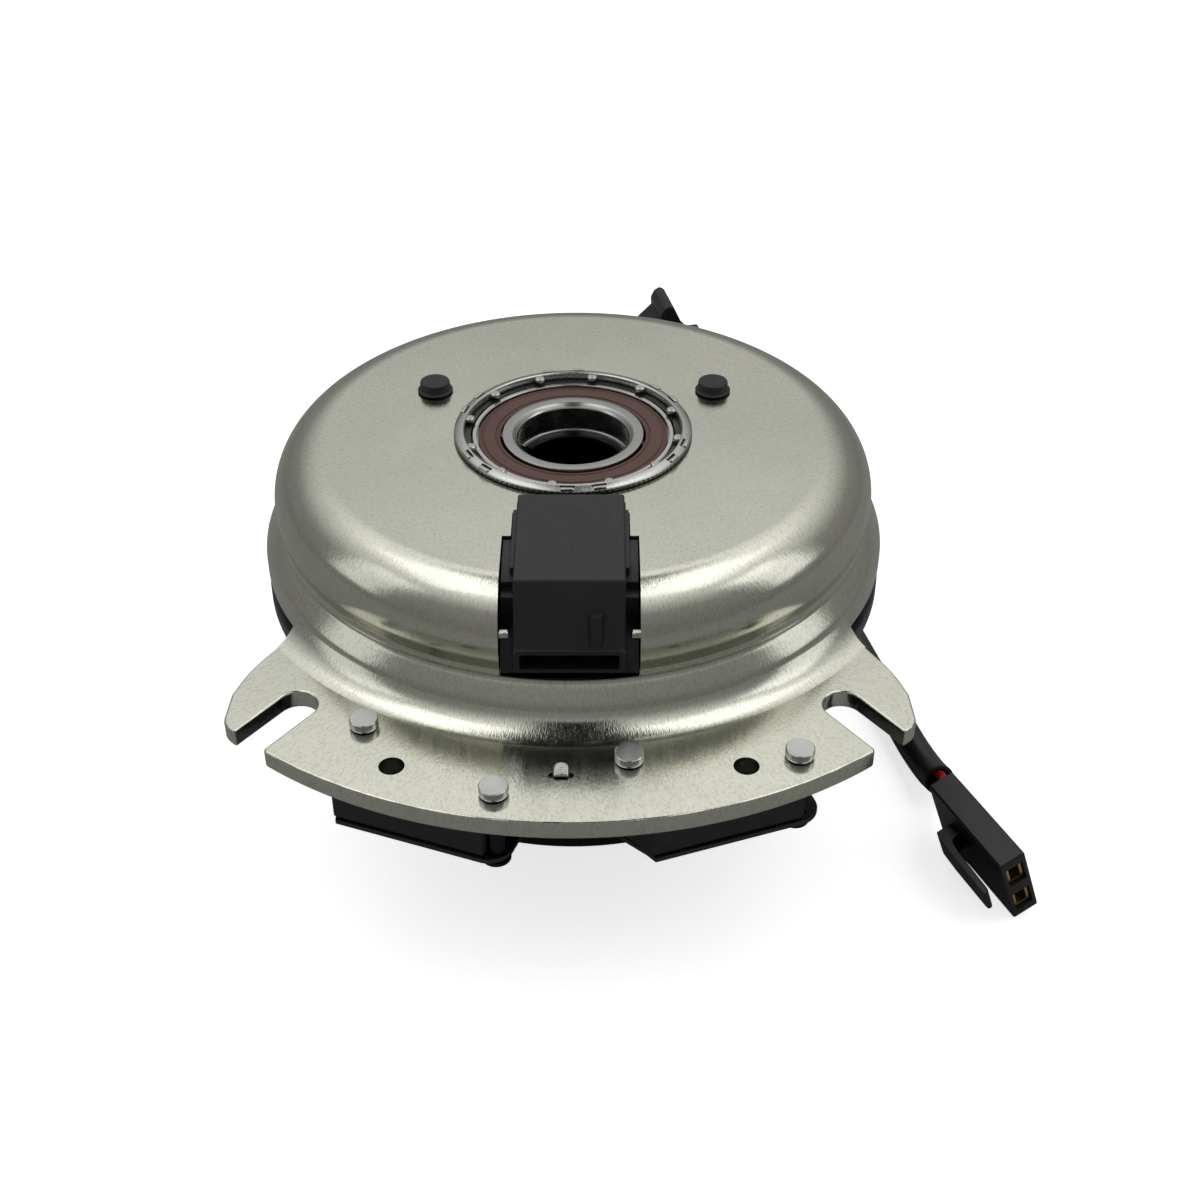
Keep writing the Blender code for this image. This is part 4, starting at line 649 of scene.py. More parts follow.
def flange_outline():
    """Right half from the arm's root round the arm and the slot, the front arc, and the mirrored half."""
    centre = Vector(polar(SLOT_CENTRE, -90 + SLOT_ANGLE))
    outward = Vector(polar(1.0, -90 + SLOT_TURN))
    across = Vector((-outward.y, outward.x))
    outer = slot_corner(centre, outward, across, 1)
    inner = slot_corner(centre, outward, across, -1)
    arm = smooth_route([Vector((x, y, 0)) * MM for x, y in ARM_SIDE])
    side = [ARM_ROOT] + [(point.x, point.y) for point in arm]
    side += rounded_corner(side[-1], polar(FLANGE_RADIUS, ARM_CORNER), outer, ARM_ROUND)
    side.append((outer.x, outer.y))
    for step in range(25):
        angle = math.radians(90 + 180 * step / 24)
        point = centre + (across * math.sin(angle) + outward * math.cos(angle)) * (SLOT_WIDTH / 2)
        side.append((point.x, point.y))
    reach = 90 + math.degrees(math.atan2(inner.y, inner.x))
    front = arc(FLANGE_RADIUS, -90 + reach, -90 - reach, 81)
    round_right = rounded_corner(side[-1], front[0], front[2], SLOT_LIP, 4)
    round_left = [(-x, y) for x, y in reversed(round_right)]
    return side + round_right + front[2:-2] + round_left + [(-x, y) for x, y in reversed(side)]


def flare_section():
    """The ring-shaped flare from the bead down to a crease on the flange."""
    inside = BEAD_RADIUS - 1.8 * MM
    section = [(inside, -0.5 * MM), (FLARE_END - 0.4 * MM, -0.5 * MM)]
    section += arc(FLARE, 268, 214, 16, (FLARE_END, FLARE))
    section.append((inside, 4.3 * MM))
    return section


def connector_gaps():
    """The stepped opening that the dome leaves for the socket: narrow at the back, wide over the shoulder."""
    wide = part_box("connector_housing")[1][0] + 0.3 * MM
    gaps = []
    for half, back, front in ((wide, -50.1, -130), (14.8 * MM, -39.7, -52), (13.8 * MM, -34.9, -52)):
        low = (-half, front * MM, flange_top + OPENING_LOW)
        gaps.append(box("connector_gap", low, (half, back * MM, shell_high.z + 2 * MM)))
    return gaps


def opening_lugs():
    """Two small tabs that stand into the opening from its sides and hold the socket."""
    lugs = []
    for side in LUGS:
        low = (side - LUG_HALF, -78.3 * MM, flange_top + 21.6 * MM)
        lugs.append(box("lug", low, (side + LUG_HALF, -76.6 * MM, flange_top + 23.2 * MM)))
    return soften(gather(lugs), 0.3 * MM, 2)


def flange_holes():
    """The two open holes, with the rivets' and the plugs' holes."""
    low, high = flange_top - DRILL_REACH, flange_top + DRILL_REACH
    places = [polar(HOLE_CIRCLE, -90 - HOLE_ANGLE), polar(HOLE_CIRCLE, -90 + HOLE_ANGLE)]
    drills = [peg("hole", HOLE_RADIUS, low, high, place, 64) for place in places]
    drills += [peg("hole", RIVET_HOLE, low, high, place) for place in rivet_places]
    top = flange_top + SHELL_TOP
    for place in plug_places.values():
        drills.append(peg("hole", PLUG_HOLE, top - DRILL_REACH, top + DRILL_REACH, place))
    return gather(drills)


def stamped_tab():
    """The small tab pressed up out of the flange in front, round at the back and leaning to the front."""
    half = TAB_WIDTH / 2
    outline = arc(half, 0, 180, 12, (0.0, 0.0)) + [(-half, -2.6 * MM), (half, -2.6 * MM)]
    tab = soften(slab("stamped_tab", outline, -2 * MM, TAB_RISE), 0.3 * MM)
    place = Matrix.Translation((*TAB_PLACE, flange_top))
    return move(tab, place @ Matrix.Rotation(math.radians(TAB_LEAN), 4, "X"))


def tab_recesses():
    """The torn hollows at the tab's two sides and in front of it."""
    low, high = flange_top - 3.5 * MM, flange_top + 1 * MM
    hollows = []
    for side in (-1, 1):
        place = (TAB_PLACE[0] + side * (TAB_WIDTH / 2 + 0.3 * MM), TAB_PLACE[1] - 1.7 * MM)
        hollows.append(peg("hollow", 0.95 * MM, low, high, place, 16))
    left, right = TAB_PLACE[0] - TAB_WIDTH / 2, TAB_PLACE[0] + TAB_WIDTH / 2
    front = TAB_PLACE[1] - 2.9 * MM
    return hollows + [box("split", (left, front - 0.3 * MM, low), (right, front + 0.3 * MM, high))]


plate = slab("plate", flange_outline(), flange_top - FLANGE_THICKNESS, flange_top)
soften(plate, 0.6 * MM)
low, high = flange_top - DRILL_REACH, flange_top + DRILL_REACH
cut(plate, peg("inner", BEAD_RADIUS - 0.6 * MM, low, high, sides=ROUND_STEPS))
flare = spun("flare", lifted(flare_section()))
combine(flare, [slab("plan", flange_outline(), flange_top - 1 * MM, high)], "INTERSECT")
housing = spun("coil_housing", lifted(shell_section()))
join(housing, plate, flare)
cut(housing, *connector_gaps(), flange_holes(), *tab_recesses())
join(housing, stamped_tab(), opening_lugs())
finish(housing, zinc, "field", "zinc_steel", "field_shell", angle=30)

# %% [markdown]
# The other pieces are turned or stamped steel, moulded plastic, rubber and paint. Turned steel carries fine
# rings round its own axis, mouldings carry the eroded grain of their mould, and both vary softly in tone. One
# material for each class of finish could be a flat colour, but it is the grain that tells them apart.

# %% Finishes for the other pieces


def steel(name, colour, roughness, grain=0.12, centre=None, scale=2600.0, depth=0.02 * MM):
    """Machined steel: fine rings round an upright axis, or plain fine grain."""
    made = new_finish(name, colour, roughness, 1.0)
    tree = made.node_tree
    vector = object_place(tree) if centre is None else across_rings(tree, centre)
    lines = noise(tree, vector, scale, 2.0)
    cloud = noise(tree, object_place(tree), 160.0, 3.0)
    worn = spread(tree, cloud, roughness * 0.8, roughness * 1.3)
    darker = tuple(value * 0.86 for value in colour)
    tone = blend(tree, spread(tree, lines, 0.0, 1.0), darker, colour)
    dress(made, Base_Color=tone, Roughness=worn, Normal=bump(tree, lines, grain, depth))
    return made


def moulded(name, colour, roughness, scale=1800.0, grain=0.15, tone=1.5):
    """Moulded plastic or rubber: even colour with a fine eroded grain."""
    made = new_finish(name, colour, roughness)
    tree = made.node_tree
    pores = noise(tree, object_place(tree), scale, 3.0, 0.6)
    cloud = noise(tree, object_place(tree), 60.0, 3.0)
    lighter = tuple(min(1.0, value * tone) for value in colour)
    cloudy = blend(tree, spread(tree, cloud, 0.0, 1.0), colour, lighter)
    worn = spread(tree, pores, roughness * 0.85, roughness * 1.15)
    dress(made, Base_Color=cloudy, Roughness=worn, Normal=bump(tree, pores, grain, 0.05 * MM))
    return made


AXIS = (0.0, 0.0)
bright_steel = steel("ground_steel", (0.60, 0.60, 0.585), 0.20, centre=AXIS)
dark_steel = steel("oiled_steel", (0.10, 0.10, 0.10), 0.42, centre=AXIS)
plate_steel = steel("blackened_plate", (0.085, 0.083, 0.080), 0.45, scale=1500.0)
rivet_steel = steel("rivet_steel", (0.74, 0.74, 0.76), 0.30)
spring_steel = steel("spring_steel", (0.32, 0.33, 0.36), 0.35)
copper = steel("winding_copper", (0.60, 0.25, 0.12), 0.40)
brass = steel("contact_brass", (0.72, 0.56, 0.26), 0.30)
socket_plastic = moulded("socket_plastic", (0.010, 0.010, 0.011), 0.44, 1100.0, 0.60, 1.3)
brake_plastic = moulded("brake_plastic", (0.012, 0.012, 0.013), 0.52, 1400.0, 0.25, 1.3)
plug_plastic = moulded("plug_plastic", (0.005, 0.005, 0.006), 0.36, 1500.0, 0.12, 1.3)
bobbin_plastic = moulded("bobbin_plastic", (0.50, 0.47, 0.38), 0.55)
pulley_paint = moulded("pulley_paint", (0.009, 0.009, 0.010), 0.38, 900.0, 0.10)
black_rubber = moulded("black_rubber", (0.012, 0.012, 0.013), 0.55)
sleeve_rubber = moulded("sleeve_rubber", (0.006, 0.006, 0.007), 0.36, 700.0, 0.10)
seal_rubber = moulded("seal_rubber", (0.088, 0.036, 0.026), 0.45, 1500.0, 0.12, 1.25)
lining = moulded("brake_lining", (0.060, 0.052, 0.045), 0.85, 700.0, 0.6)
red_wire = moulded("red_wire", (0.30, 0.008, 0.010), 0.38)
slots = {
    "zinc_steel": zinc, "bright_steel": bright_steel, "dark_steel": dark_steel, "rivet_steel": rivet_steel,
    "spring_steel": spring_steel, "copper": copper, "brass": brass, "black_plastic": socket_plastic,
    "bobbin_plastic": bobbin_plastic, "black_paint": pulley_paint, "black_rubber": black_rubber,
    "brown_rubber": seal_rubber, "friction": lining, "red_wire": red_wire,
}
for part in frame["record"]["subparts"]:
    owner = nodes[part["node"]]
    owner.data.materials.clear()
    owner.data.materials.append(slots[part["material_slot"]])
print("finishes:", len(slots))

# %% [markdown]
# The lock ring holds the bearing. It is pressed over the seat, its wall is knurled, its inner edge is staked
# down over the bearing at twelve places, and six pairs of narrow windows pass through it. The ring could be
# one plain washer, but the windows and the knurl catch the light, so they are cut and drawn.

# %% Lock ring
RING_LOW = 32.3 * MM
RING = [
    (29.3, 32.3), (29.3, 33.5), (29.45, 33.85), (29.75, 34.05), (30.2, 34.05), (31.0, 33.8), (31.75, 33.5),
    (32.05, 33.25), (32.2, 32.9), (32.2, 32.45), (32.05, 32.3),
]
RING_COLOUR = (0.50, 0.50, 0.48)
# Painted shade: the colour of the ring's outer wall, much darker than its top.
SHADED_WALL_COLOUR = (0.16, 0.165, 0.15)
KNURL_TEETH = 132
STAKE_START = -10.2
STAKE_COUNT = 12
STAKE_CIRCLE = 28.7 * MM
STAKE_RADIUS = 1.5 * MM
SLIT_RADIUS, NIB_RADIUS, NIB_EDGE = 30.2 * MM, 30.85 * MM, 32.0 * MM
NIB_HALF = 2.0 * MM
NIB_GAP = 0.3 * MM
WINDOW_START = -84.3
WINDOW_ANGLE = 7.7


def knurled_steel():
    """Plated steel whose outer wall is knurled and painted darker as shade; the knurl and the painted shade end
    where the wall does.
    """
    made = new_finish("knurled_steel", RING_COLOUR, 0.26, 1.0)
    tree = made.node_tree
    axes = node(tree, "ShaderNodeSeparateXYZ", polar_place(tree, KNURL_TEETH, 1.0)).outputs
    wave = maths(tree, "SINE", axes["X"])
    wall = spread(tree, axes["Y"], 0.0, 1.0, 32.05 * MM, 32.18 * MM)
    teeth = maths(tree, "MULTIPLY", wave, wall)
    grain = noise(tree, object_place(tree), 1600.0, 3.0)
    knurl = bump(tree, teeth, 0.4, 0.12 * MM, bump(tree, grain, 0.08, 0.03 * MM))
    # Painted shade: the knurled outer wall takes the darker colour, as the shade on that side.
    tone = blend(tree, wall, RING_COLOUR, SHADED_WALL_COLOUR)
    dress(made, Base_Color=tone, Roughness=spread(tree, grain, 0.20, 0.34), Normal=knurl)
    return made


def at_windows(name, low, high):
    """The same small box at each of the ring's twelve windows, as one object."""
    boxes = []
    for pair in range(6):
        for side in (-1, 1):
            made = box(name, low, high)
            boxes.append(turn(made, WINDOW_START + 60 * pair + side * WINDOW_ANGLE))
    return gather(boxes)


lock_ring = spun("staked_ring", in_mm(RING))
stakes = []
for stake in range(STAKE_COUNT):
    place = polar(STAKE_CIRCLE, STAKE_START + 360 / STAKE_COUNT * stake)
    low = flange_top + RING_LOW + 0.1 * MM
    stakes.append(peg("stake", STAKE_RADIUS, low, low + 1.3 * MM, place, 24))
join(lock_ring, soften(gather(stakes), 0.55 * MM, 4))
slit_low = (SLIT_RADIUS, -NIB_HALF, flange_top + RING_LOW + 0.4 * MM)
slit_high = (NIB_RADIUS, NIB_HALF, flange_top + RING_LOW + 3 * MM)
cut(lock_ring, at_windows("slit", slit_low, slit_high))
nib_low = (NIB_RADIUS, NIB_GAP - NIB_HALF, flange_top + RING_LOW + 0.5 * MM)
nib_high = (NIB_EDGE, NIB_HALF - NIB_GAP, flange_top + RING_LOW + 1.75 * MM)
join(lock_ring, soften(at_windows("nib", nib_low, nib_high), 0.3 * MM, 2))
finish(lock_ring, knurled_steel(), "field", "zinc_steel", "lock_ring")

# %% [markdown]
# Inside it sits a sealed ball bearing on the hub. Its rings are ground bright, its seal is brown rubber with
# shallow ring grooves, and the hub inside is bored and keyed for the crankshaft. All of them are turned
# sections. The hub could keep its packed form, but its bore shows facets, so it is spun again and the keyway
# is cut through.

# %% Bearing and hub
BEARING_TOP = 31.9 * MM
OUTER_RING = [
    (24.5, 28.4), (24.5, 30.3), (26.0, 30.3), (26.0, 31.75), (26.15, 31.9), (27.1, 31.9), (27.5, 31.5),
    (27.5, 19.7), (26.7, 18.9), (26.0, 18.9), (26.0, 20.5), (24.5, 20.5), (24.5, 22.4), (25.8, 25.4),
]
INNER_RING = [
    (15.0, 19.7), (15.0, 30.5), (15.35, 31.1), (16.3, 31.8), (16.6, 31.9), (18.8, 31.9), (19.05, 31.8),
    (19.2, 31.5), (19.2, 28.4), (17.9, 25.4), (19.2, 22.4), (19.2, 18.9), (15.8, 18.9),
]
SEAL = [
    (19.7, 30.6), (19.7, 31.15), (19.85, 31.3), (20.5, 31.3), (20.65, 31.1), (20.95, 31.1), (21.1, 31.35),
    (21.6, 31.4), (24.2, 31.4), (24.4, 31.15), (24.8, 31.15), (25.0, 31.35), (25.5, 31.35), (25.7, 31.2),
    (25.7, 30.6),
]
HUB = [
    (12.7, 22.6), (13.0, 23.1), (14.0, 23.85), (14.3, 23.9), (14.85, 23.7), (14.85, 18.6), (18.4, 18.6),
    (18.4, 7.0), (22.0, 5.0), (22.0, -5.7), (27.6, -5.7), (28.0, -6.1), (28.0, -8.4), (20.35, -11.4),
    (20.35, -23.7), (17.35, -23.7), (17.35, -38.3), (16.15, -38.3), (16.15, -40.2), (17.35, -40.2),
    (17.35, -49.0), (16.35, -50.0), (13.7, -50.0), (12.7, -49.0),
]
KEYWAY_WIDTH = 6.35 * MM
KEYWAY_RADIUS = 15.9 * MM
KEYWAY_ANGLE = 168


def steel_with_painted_bore(name, colour, bore, radius):
    """Ground steel whose bore, inside a radius, is painted another colour: lighter as painted light in the
    race, near black as painted shade in the hub.
    """
    made = steel(name, colour, 0.22, centre=AXIS)
    tree = made.node_tree
    axes = node(tree, "ShaderNodeSeparateXYZ", polar_place(tree, 1.0, 1.0)).outputs
    outside = spread(tree, axes["Y"], 0.0, 1.0, radius - 0.1 * MM, radius + 0.1 * MM)
    dress(made, Base_Color=blend(tree, outside, bore, colour))
    return made


outer_race = spun("outer_race", in_mm(OUTER_RING))
finish(outer_race, bright_steel, "field", "bright_steel", "field_bearing_outer_ring")
# Painted light: the inner race's bore is painted much lighter than its face.
race_steel = steel_with_painted_bore("race_steel", (0.38, 0.38, 0.37), (0.70, 0.70, 0.68), 15.4 * MM)
inner_race = spun("inner_race", in_mm(INNER_RING))
finish(inner_race, race_steel, "rotor", "bright_steel", "field_bearing_inner_ring")
brown_seal = spun("brown_seal", in_mm(SEAL))
finish(brown_seal, seal_rubber, "field", "brown_rubber", "field_bearing_top_seal")
keyed_hub = spun("keyed_hub", in_mm(HUB))
key_high = (KEYWAY_RADIUS, KEYWAY_WIDTH / 2, flange_top + BEARING_TOP)
key = box("key", (0.0, -KEYWAY_WIDTH / 2, -4 * MM), key_high)
cut(keyed_hub, turn(key, KEYWAY_ANGLE))
# Painted shade: the hub's bore is painted nearly black, as the shade deep inside it.
hub_steel = steel_with_painted_bore("hub_steel", (0.60, 0.60, 0.58), (0.02, 0.02, 0.02), 14.45 * MM)
finish(keyed_hub, hub_steel, "rotor", "bright_steel", "hub")

# %% [markdown]
# The socket is one nylon moulding clipped over the dome's shoulder. Its hood is a side outline pulled across,
# with soft edges, a half-round rib in front that keys the plug, and a mouth with a thin lip. Rails at its
# sides close the opening in the steel. It could be sculpted, but a moulding has true flats and radii.

# %% Socket
hood_low, hood_high = (Vector(corner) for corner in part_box("connector_housing"))
HOOD_HALF = 13.5 * MM
HOOD = [
    (-35.2, 28.0), (-35.2, 34.8), (-70.8, 33.3), (-79.3, 19.0), (-80.2, 18.4), (-80.2, 12.4), (-56.2, 12.4),
    (-56.2, 28.0),
]
RAIL = [
    (-50.6, 28.8), (-50.6, 31.3), (-60.0, 31.0), (-66.0, 29.4), (-66.0, 27.4), (-69.6, 27.4), (-69.6, 20.4),
    (-76.6, 19.6), (-79.0, 16.0), (-79.0, 11.6), (-57.2, 11.6), (-57.2, 28.8),
]
STEP_RAIL = [(-40.0, 28.4), (-40.0, 33.2), (-64.0, 32.2), (-64.0, 28.4)]
MOUTH_HALF = 12 * MM
MOUTH_LOW, MOUTH_HIGH = 13.7 * MM, 18.0 * MM
MOUTH_DEPTH = 22 * MM
RIB_X = 6.4 * MM
RIB_RADIUS = 1.8 * MM
RIB_TOP = 27.2 * MM
RIB_SETBACK = 2.3 * MM
RIB_LEAN = 13.5
RIB_FOOT = 17.9 * MM
WEB_HALF = 1.3 * MM
WEB_LOW, WEB_DEPTH = 18.6 * MM, 5 * MM
LIP = [(-80.15, 18.4), (-80.15, 19.2), (-78.4, 19.2), (-78.4, 18.4)]
LIP_HALF = 12.6 * MM
hood = soften(side_slab("socket_hood", in_mm(HOOD), -HOOD_HALF, HOOD_HALF), 1.2 * MM, 4, 20)
rail_half = hood_high.x
rails = soften(side_slab("rails", in_mm(RAIL), -rail_half, rail_half), 0.25 * MM, 2)
step_half = HOOD_HALF + 1.0 * MM
steps = soften(side_slab("steps", in_mm(STEP_RAIL), -step_half, step_half), 0.25 * MM, 2)
join(hood, rails, steps)
front = hood_low.y
rib_place = (RIB_X, front + RIB_SETBACK + RIB_RADIUS)
rib = peg("rib", RIB_RADIUS, flange_top + RIB_FOOT, flange_top + RIB_TOP, rib_place, 40)
soften(rib, 0.2 * MM, 2)
rib_head = Matrix.Translation((*rib_place, flange_top + RIB_TOP))
move(rib, rib_head @ Matrix.Rotation(math.radians(-RIB_LEAN), 4, "X") @ rib_head.inverted())
web_high = (RIB_X + WEB_HALF, rib_place[1] + WEB_DEPTH, flange_top + RIB_TOP - 0.6 * MM)
web = box("web", (RIB_X - WEB_HALF, rib_place[1], flange_top + WEB_LOW), web_high)
lip = side_slab("lip", in_mm(LIP), -LIP_HALF, LIP_HALF)
soften(lip, 0.25 * MM, 2)
join(hood, rib, web, lip)
mouth_high = (MOUTH_HALF, front + MOUTH_DEPTH, flange_top + MOUTH_HIGH)
mouth = box("mouth", (-MOUTH_HALF, front - 3 * MM, flange_top + MOUTH_LOW), mouth_high)
cut(hood, soften(mouth, 0.8 * MM, 3))
finish(hood, socket_plastic, "field", "black_plastic", "connector_housing")

# %% [markdown]
# Two rubber plugs close holes in the dome, and four steel rivets hold the brakes under the flange. Each is
# turned, so each is spun about its own axis. A rivet's head carries the rings of the tool that spread it,
# round its own middle, which is what gives it the bright wedges.

# %% Rubber plugs and rivets
RIVET_COLOUR = (0.52, 0.52, 0.515)
# Painted shade: the colour of the rivets below the flange.
UNDER_FLANGE_SHADE = (0.03, 0.03, 0.03)
PLUG_SECTION = [
    (0.0, 27.5), (3.0, 27.5), (3.0, 32.3), (4.75, 32.3), (4.9, 32.4), (4.9, 32.65), (4.7, 32.85),
    (4.3, 33.0), (4.2, 33.3), (4.15, 34.8), (4.0, 35.15), (3.7, 35.3), (0.0, 35.3),
]
RIVET_SECTION = [
    (0.0, -20.5), (3.2, -20.5), (3.55, -20.2), (3.55, -19.3), (2.4, -19.3), (2.4, 0.3), (3.3, 0.3),
    (3.5, 0.6), (3.55, 1.2), (3.55, 2.35), (3.5, 2.55), (3.3, 2.7), (0.0, 2.66),
]


def rivet_finish(name, place):
    """Turned head with its own rings; below the flange the shank and tail are painted near black, as painted
    shade under the flange.
    """
    made = steel(name, RIVET_COLOUR, 0.24, 0.5, centre=place, scale=4200.0)
    tree = made.node_tree
    axes = node(tree, "ShaderNodeSeparateXYZ", object_place(tree)).outputs
    above = spread(tree, axes["Z"], 0.0, 1.0, flange_top - 4 * MM, flange_top - 3 * MM)
    # Painted shade: everything below the flange is painted near black.
    dress(made, Base_Color=blend(tree, above, UNDER_FLANGE_SHADE, RIVET_COLOUR))
    return made


for side, place in plug_places.items():
    plug = spun("rubber_plug_" + side, in_mm(PLUG_SECTION), 64, closed=False, place=place)
    finish(plug, black_rubber, "field", "black_rubber", "vent_plug_" + side)
for rivet, place in enumerate(rivet_places, 1):
    name = "flange_rivet_" + str(rivet)
    head = spun(name, in_mm(RIVET_SECTION), 64, closed=False, place=place)
    rings = rivet_finish(name + "_rings", place)
    finish(head, rings, "field", "rivet_steel", "brake_rivet_" + str(rivet))

# %% [markdown]
# A brake under the flange is a moulded block on a blackened steel plate, whose round nose and thin lip show
# past the block. Both are outlines pulled up and turned to their place about the shaft. Their linings stay
# as they are, because they are flat and only seen from below.

# %% Brakes
BRAKE_ANGLES = {"left": -110.4, "right": -70.3}
BLOCK_TOP, BLOCK_LOW = -5.3 * MM, -17.3 * MM
PLATE_TOP, PLATE_LOW = -17.6 * MM, -19.0 * MM
BLOCK = [(112.0, -19.2), (112.0, 20.0), (99.0, 24.0), (88.3, 24.0), (88.3, -25.2), (99.0, -25.2)]
BACKING = [
    (92.0, 25.5), (74.0, 18.0), (74.0, -18.0), (92.0, -25.8), (99.0, -25.8), (109.6, -19.8), (112.6, -18.6),
]
NOSE = (106.6, 19.5)
NOSE_RADIUS = 6.0


def brake_slab(name, outline, low, high, width):
    """A plate over an outline of (outward, along) millimetres, with soft edges."""
    piece = slab(name, metres(outline), flange_top + low, flange_top + high)
    return soften(piece, width, 2)


def rivet_drills(side):
    own = [place for place in rivet_places if (place[0] < 0) == (side == "left")]
    return gather([peg("drill", RIVET_HOLE, flange_top - 25 * MM, flange_top, place, 32) for place in own])


for side, angle in BRAKE_ANGLES.items():
    block = brake_slab("brake_block_" + side, BLOCK, BLOCK_LOW, BLOCK_TOP, 0.4 * MM)
    nose = arc(NOSE_RADIUS, 0, 90, 14, NOSE)
    backing = brake_slab("brake_backing_" + side, nose + BACKING, PLATE_LOW, PLATE_TOP, 0.25 * MM)
    for piece in (block, backing):
        cut(turn(piece, angle), rivet_drills(side))
    finish(block, brake_plastic, "field", "black_plastic", "brake_box_" + side)
    finish(backing, plate_steel, "field", "dark_steel", "brake_plate_" + side)

# %% [markdown]
# Under the bead run the dark rims of the rotor and the armature, and the pulley stands below them. They are
# turned too. The armature is drilled for its rivets, the rotor is slotted between its poles, and the pulley
# is drilled where the springs drive it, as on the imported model. The rivets that hang the armature on the
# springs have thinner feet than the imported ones, so that they stay clear of the springs when it is pulled in.

# %% Rotor, armature and pulley
ROTOR = [
    (22.3, -5.4), (83.2, -5.4), (83.5, -5.1), (83.5, -1.9), (83.2, -1.6), (78.0, -1.6), (78.0, 3.0),
    (22.3, 3.0),
]
ARMATURE = [
    (40.0, -10.0), (84.8, -10.0), (85.2, -9.6), (85.2, -6.4), (84.8, -6.0), (40.0, -6.0),
]
PULLEY = [
    (28.15, 42.4), (65.6, 42.4), (66.0, 42.0), (66.0, 38.4), (60.0, 35.4), (60.0, 27.5), (69.6, 25.5),
    (70.0, 25.1), (70.0, 22.9), (69.6, 22.2), (57.9, 16.7), (57.5, 16.2), (57.5, 12.8), (57.9, 12.3),
    (69.6, 6.8), (70.0, 6.2), (70.0, 3.5), (69.0, 0.0), (64.0, 0.0), (51.5, 8.0), (51.5, 31.3),
    (36.35, 31.3), (36.35, 13.4), (32.15, 13.4), (31.15, 14.4), (31.15, 15.8), (32.35, 15.8),
    (32.35, 17.7), (31.15, 17.7), (31.15, 32.3), (28.15, 32.3),
]
DRIVE_RIVET = [
    (0.0, -13.3), (3.8, -13.3), (4.0, -13.1), (4.0, -12.75), (2.5, -12.75), (2.5, -6.6), (2.3, -6.4),
    (0.0, -6.4),
]
DRIVE_HOLE = 2.8 * MM
SLOT_CIRCLE = 60 * MM
SPRING_CIRCLE = 54 * MM
SPRING_REACH = 16 * MM


def spring_place(index, end):
    """Rivet place at the armature end (-1) or the pulley end (1) of a leaf spring."""
    angle = 360 * index / 3 + 90
    place = Vector(polar(SPRING_CIRCLE, angle)) + Vector(polar(1.0, angle + 90)) * (end * SPRING_REACH)
    return (place.x, place.y)


def pole_slots():
    slots_found = []
    for index in range(6):
        start = 60 * index
        outline = arc(SLOT_CIRCLE + 2 * MM, start, start + 44, 14)
        outline += arc(SLOT_CIRCLE - 2 * MM, start + 44, start, 14)
        slots_found.append(slab("pole_slot", outline, flange_top - 8 * MM, flange_top + 5 * MM))
    return gather(slots_found)


rotor = spun("rotor_face", in_mm(ROTOR))
finish(cut(rotor, pole_slots()), dark_steel, "rotor", "dark_steel", "rotor_disc")
armature = spun("armature_ring", in_mm(ARMATURE))
low, high = flange_top - 12 * MM, flange_top - 4 * MM
drills = [peg("drill", DRIVE_HOLE, low, high, spring_place(index, -1), 24) for index in range(3)]
drills += [peg("relief", 5 * MM, low, high, spring_place(index, 1), 32) for index in range(3)]
finish(cut(armature, gather(drills)), dark_steel, "armature", "dark_steel", "armature_plate")
for index in range(3):
    held = spun("drive_rivet_" + str(index + 1), in_mm(DRIVE_RIVET), 32, place=spring_place(index, -1))
    finish(held, rivet_steel, "armature", "rivet_steel", "armature_rivet_" + str(index + 1))
wheel = spun("belt_pulley", metres(PULLEY))
drills = [peg("drill", DRIVE_HOLE, 38.6 * MM, 46 * MM, spring_place(index, 1), 24) for index in range(3)]
finish(cut(wheel, gather(drills)), pulley_paint, "pulley_wheel", "black_paint", "pulley")

# %% [markdown]
# The lead's front plug lies on its narrow side. It is a nylon box with two ways for brass contacts and a
# latch arm that tapers towards its free end. The rear plug is a collar round the sleeve's end and a keyed
# body with a tall ridge. Each is drawn square to the axes at the origin, as it would be on a bench, and then
# moved to where it lies.

# %% The lead's plugs and wires
PLUG_LENGTH = 33 * MM
PLUG_HALF = 3.7 * MM
PLUG_HEIGHT = 22.5 * MM
PLUG_LEAN = 20
PLUG_YAW = 23.5
PLUG_NOSE = (116.6 * MM, -94.0 * MM)
WAY_LEVELS = (0.27, 0.73)
REAR_YAW = 12
SLIT_HALF, WAY_HALF, WAY_DEPTH = 2.5 * MM, 3.4 * MM, 14 * MM
ARM_HALF = 3.5 * MM
REST_GAP = 0.3 * MM
CORE_DIAMETER = 2.6 * MM
ARM_OUTLINE = [
    (-9.3, 2.2), (-9.15, 1.3), (-8.5, 1.0), (-7.9, 1.3), (-7.5, 2.2), (-7.3, 9.0), (-7.0, 16.0), (-6.6, 19.2),
    (-5.6, 20.3), (-3.2, 20.6), (-3.2, 24.7), (-8.2, 24.7), (-8.9, 22.5), (-9.2, 16.0),
]
REAR_PROFILE = [
    (-18.0, 0.0), (4.6, 0.0), (4.6, 3.6), (1.4, 6.8), (-5.4, 21.2), (-7.2, 22.2), (-9.4, 21.0), (-10.7, 18.2),
    (-10.5, 15.2), (-17.6, 8.6), (-18.0, 7.8),
]


def plug_frame():
    yaw = Matrix.Rotation(math.radians(PLUG_YAW), 4, "Z")
    lean = Matrix.Rotation(math.radians(-PLUG_LEAN), 4, "Y")
    rise = PLUG_HALF * math.sin(math.radians(PLUG_LEAN)) + REST_GAP
    return Matrix.Translation((*PLUG_NOSE, rise)) @ yaw @ lean


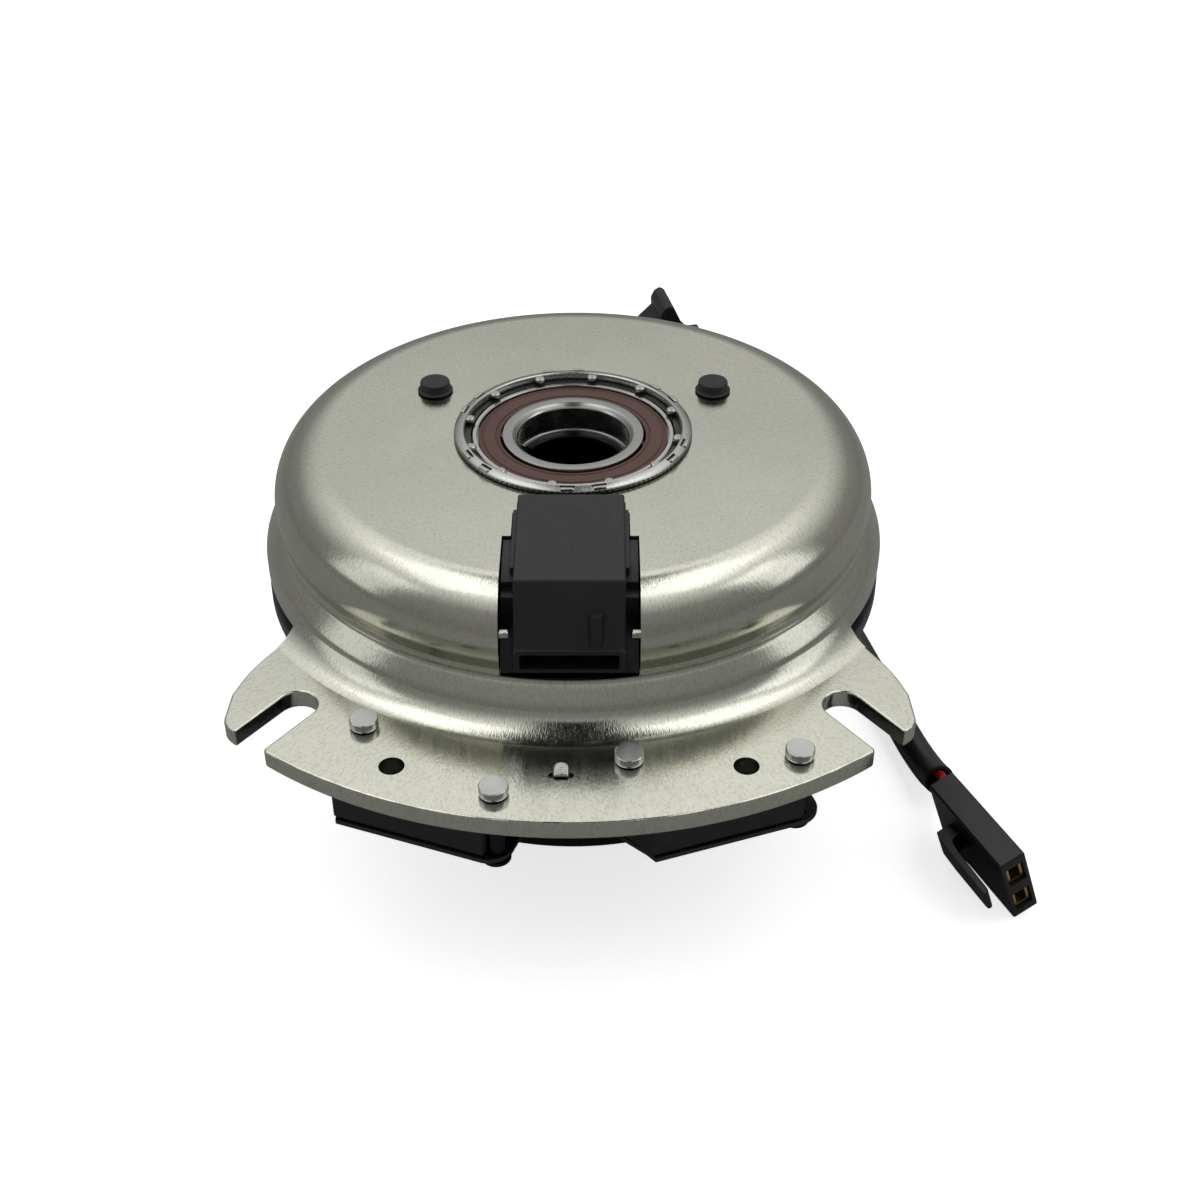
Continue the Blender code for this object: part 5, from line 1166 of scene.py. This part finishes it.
front_plug = box("front_plug", (-PLUG_HALF, 0.0, 0.0), (PLUG_HALF, PLUG_LENGTH, PLUG_HEIGHT))
soften(front_plug, 0.6 * MM)
arm_low, arm_high = PLUG_HEIGHT / 2 - ARM_HALF, PLUG_HEIGHT / 2 + ARM_HALF
arm = slab("latch_arm", metres(ARM_OUTLINE), arm_low, arm_high)
join(front_plug, soften(arm, 0.3 * MM, 2))
ways = []
for level in WAY_LEVELS:
    middle = PLUG_HEIGHT * level
    way_low = (-SLIT_HALF, -2 * MM, middle - WAY_HALF)
    ways.append(box("way", way_low, (SLIT_HALF, WAY_DEPTH, middle + WAY_HALF)))
cut(front_plug, soften(gather(ways), 0.3 * MM, 2))
move(front_plug, plug_frame())
finish(front_plug, plug_plastic, "field", "black_plastic", "lead_plug")

rear_plug = box("rear_plug", (-11.5 * MM, 0.0, 0.0), (5.5 * MM, 9 * MM, 11 * MM))
soften(rear_plug, 0.7 * MM)
keyed = slab("keyed", metres(REAR_PROFILE), -22 * MM, -4 * MM)
move(soften(keyed, 0.6 * MM, 3, 20), Matrix.Rotation(math.radians(90), 4, "X"))
join(rear_plug, keyed)
rear_mouth = box("rear_mouth", (-15 * MM, 12 * MM, 1.5 * MM), (0.0, 32 * MM, 7 * MM))
cut(rear_plug, soften(rear_mouth, 0.4 * MM, 2))
rear_away = (sleeve_points[0] - sleeve_points[1]).normalized()
rear_place = sleeve_points[0] + rear_away * REST_GAP
rear_turn = Matrix.Rotation(math.radians(REAR_YAW), 4, "Z")
rear_frame = Matrix.Translation((rear_place.x, rear_place.y, REST_GAP)) @ rear_turn
move(rear_plug, rear_frame)
finish(rear_plug, plug_plastic, "field", "black_plastic", "lead_rear_plug")

choose(sleeve)
bpy.ops.object.convert(target="MESH")
sleeve_end = sleeve_points[-1]
sleeve_away = (sleeve_line[-1] - sleeve_line[-2]).normalized()
bore = peg("bore", SLEEVE_BORE / 2, -SLEEVE_BORE_DEPTH, 3 * MM, (0.0, 0.0), 32)
bore_frame = Matrix.Translation(sleeve_end) @ sleeve_away.to_track_quat("Z", "Y").to_matrix().to_4x4()
cut(sleeve, move(bore, bore_frame))
finish(sleeve, sleeve_rubber, "field", "black_rubber", "lead_sleeve", angle=40)


def core(name, side, material, replaced):
    """One wire from inside the sleeve's end into the back of the front plug."""
    across = sleeve_away.cross(Vector((0, 0, 1))).cross(sleeve_away).normalized()
    start = sleeve_end + across * (side * 1.5 * MM)
    back = Vector((0.0, PLUG_LENGTH - 0.5 * MM, PLUG_HEIGHT * (0.5 + side * 0.13)))
    behind = back + Vector((0.0, 3.5 * MM, 0.0))
    bends = [start - sleeve_away * (5 * MM), start + sleeve_away * (2.5 * MM)]
    bends += [plug_frame() @ behind, plug_frame() @ back]
    wire = cable(name, smooth_route(bends, 8), CORE_DIAMETER, 6)
    wire.data.materials.append(material)
    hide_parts(replaced)
    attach(wire, "field")
    return wire


red_core = core("red_core", 1, red_wire, "lead_wire_red")
black_core = core("black_core", -1, black_rubber, "lead_wire_black")
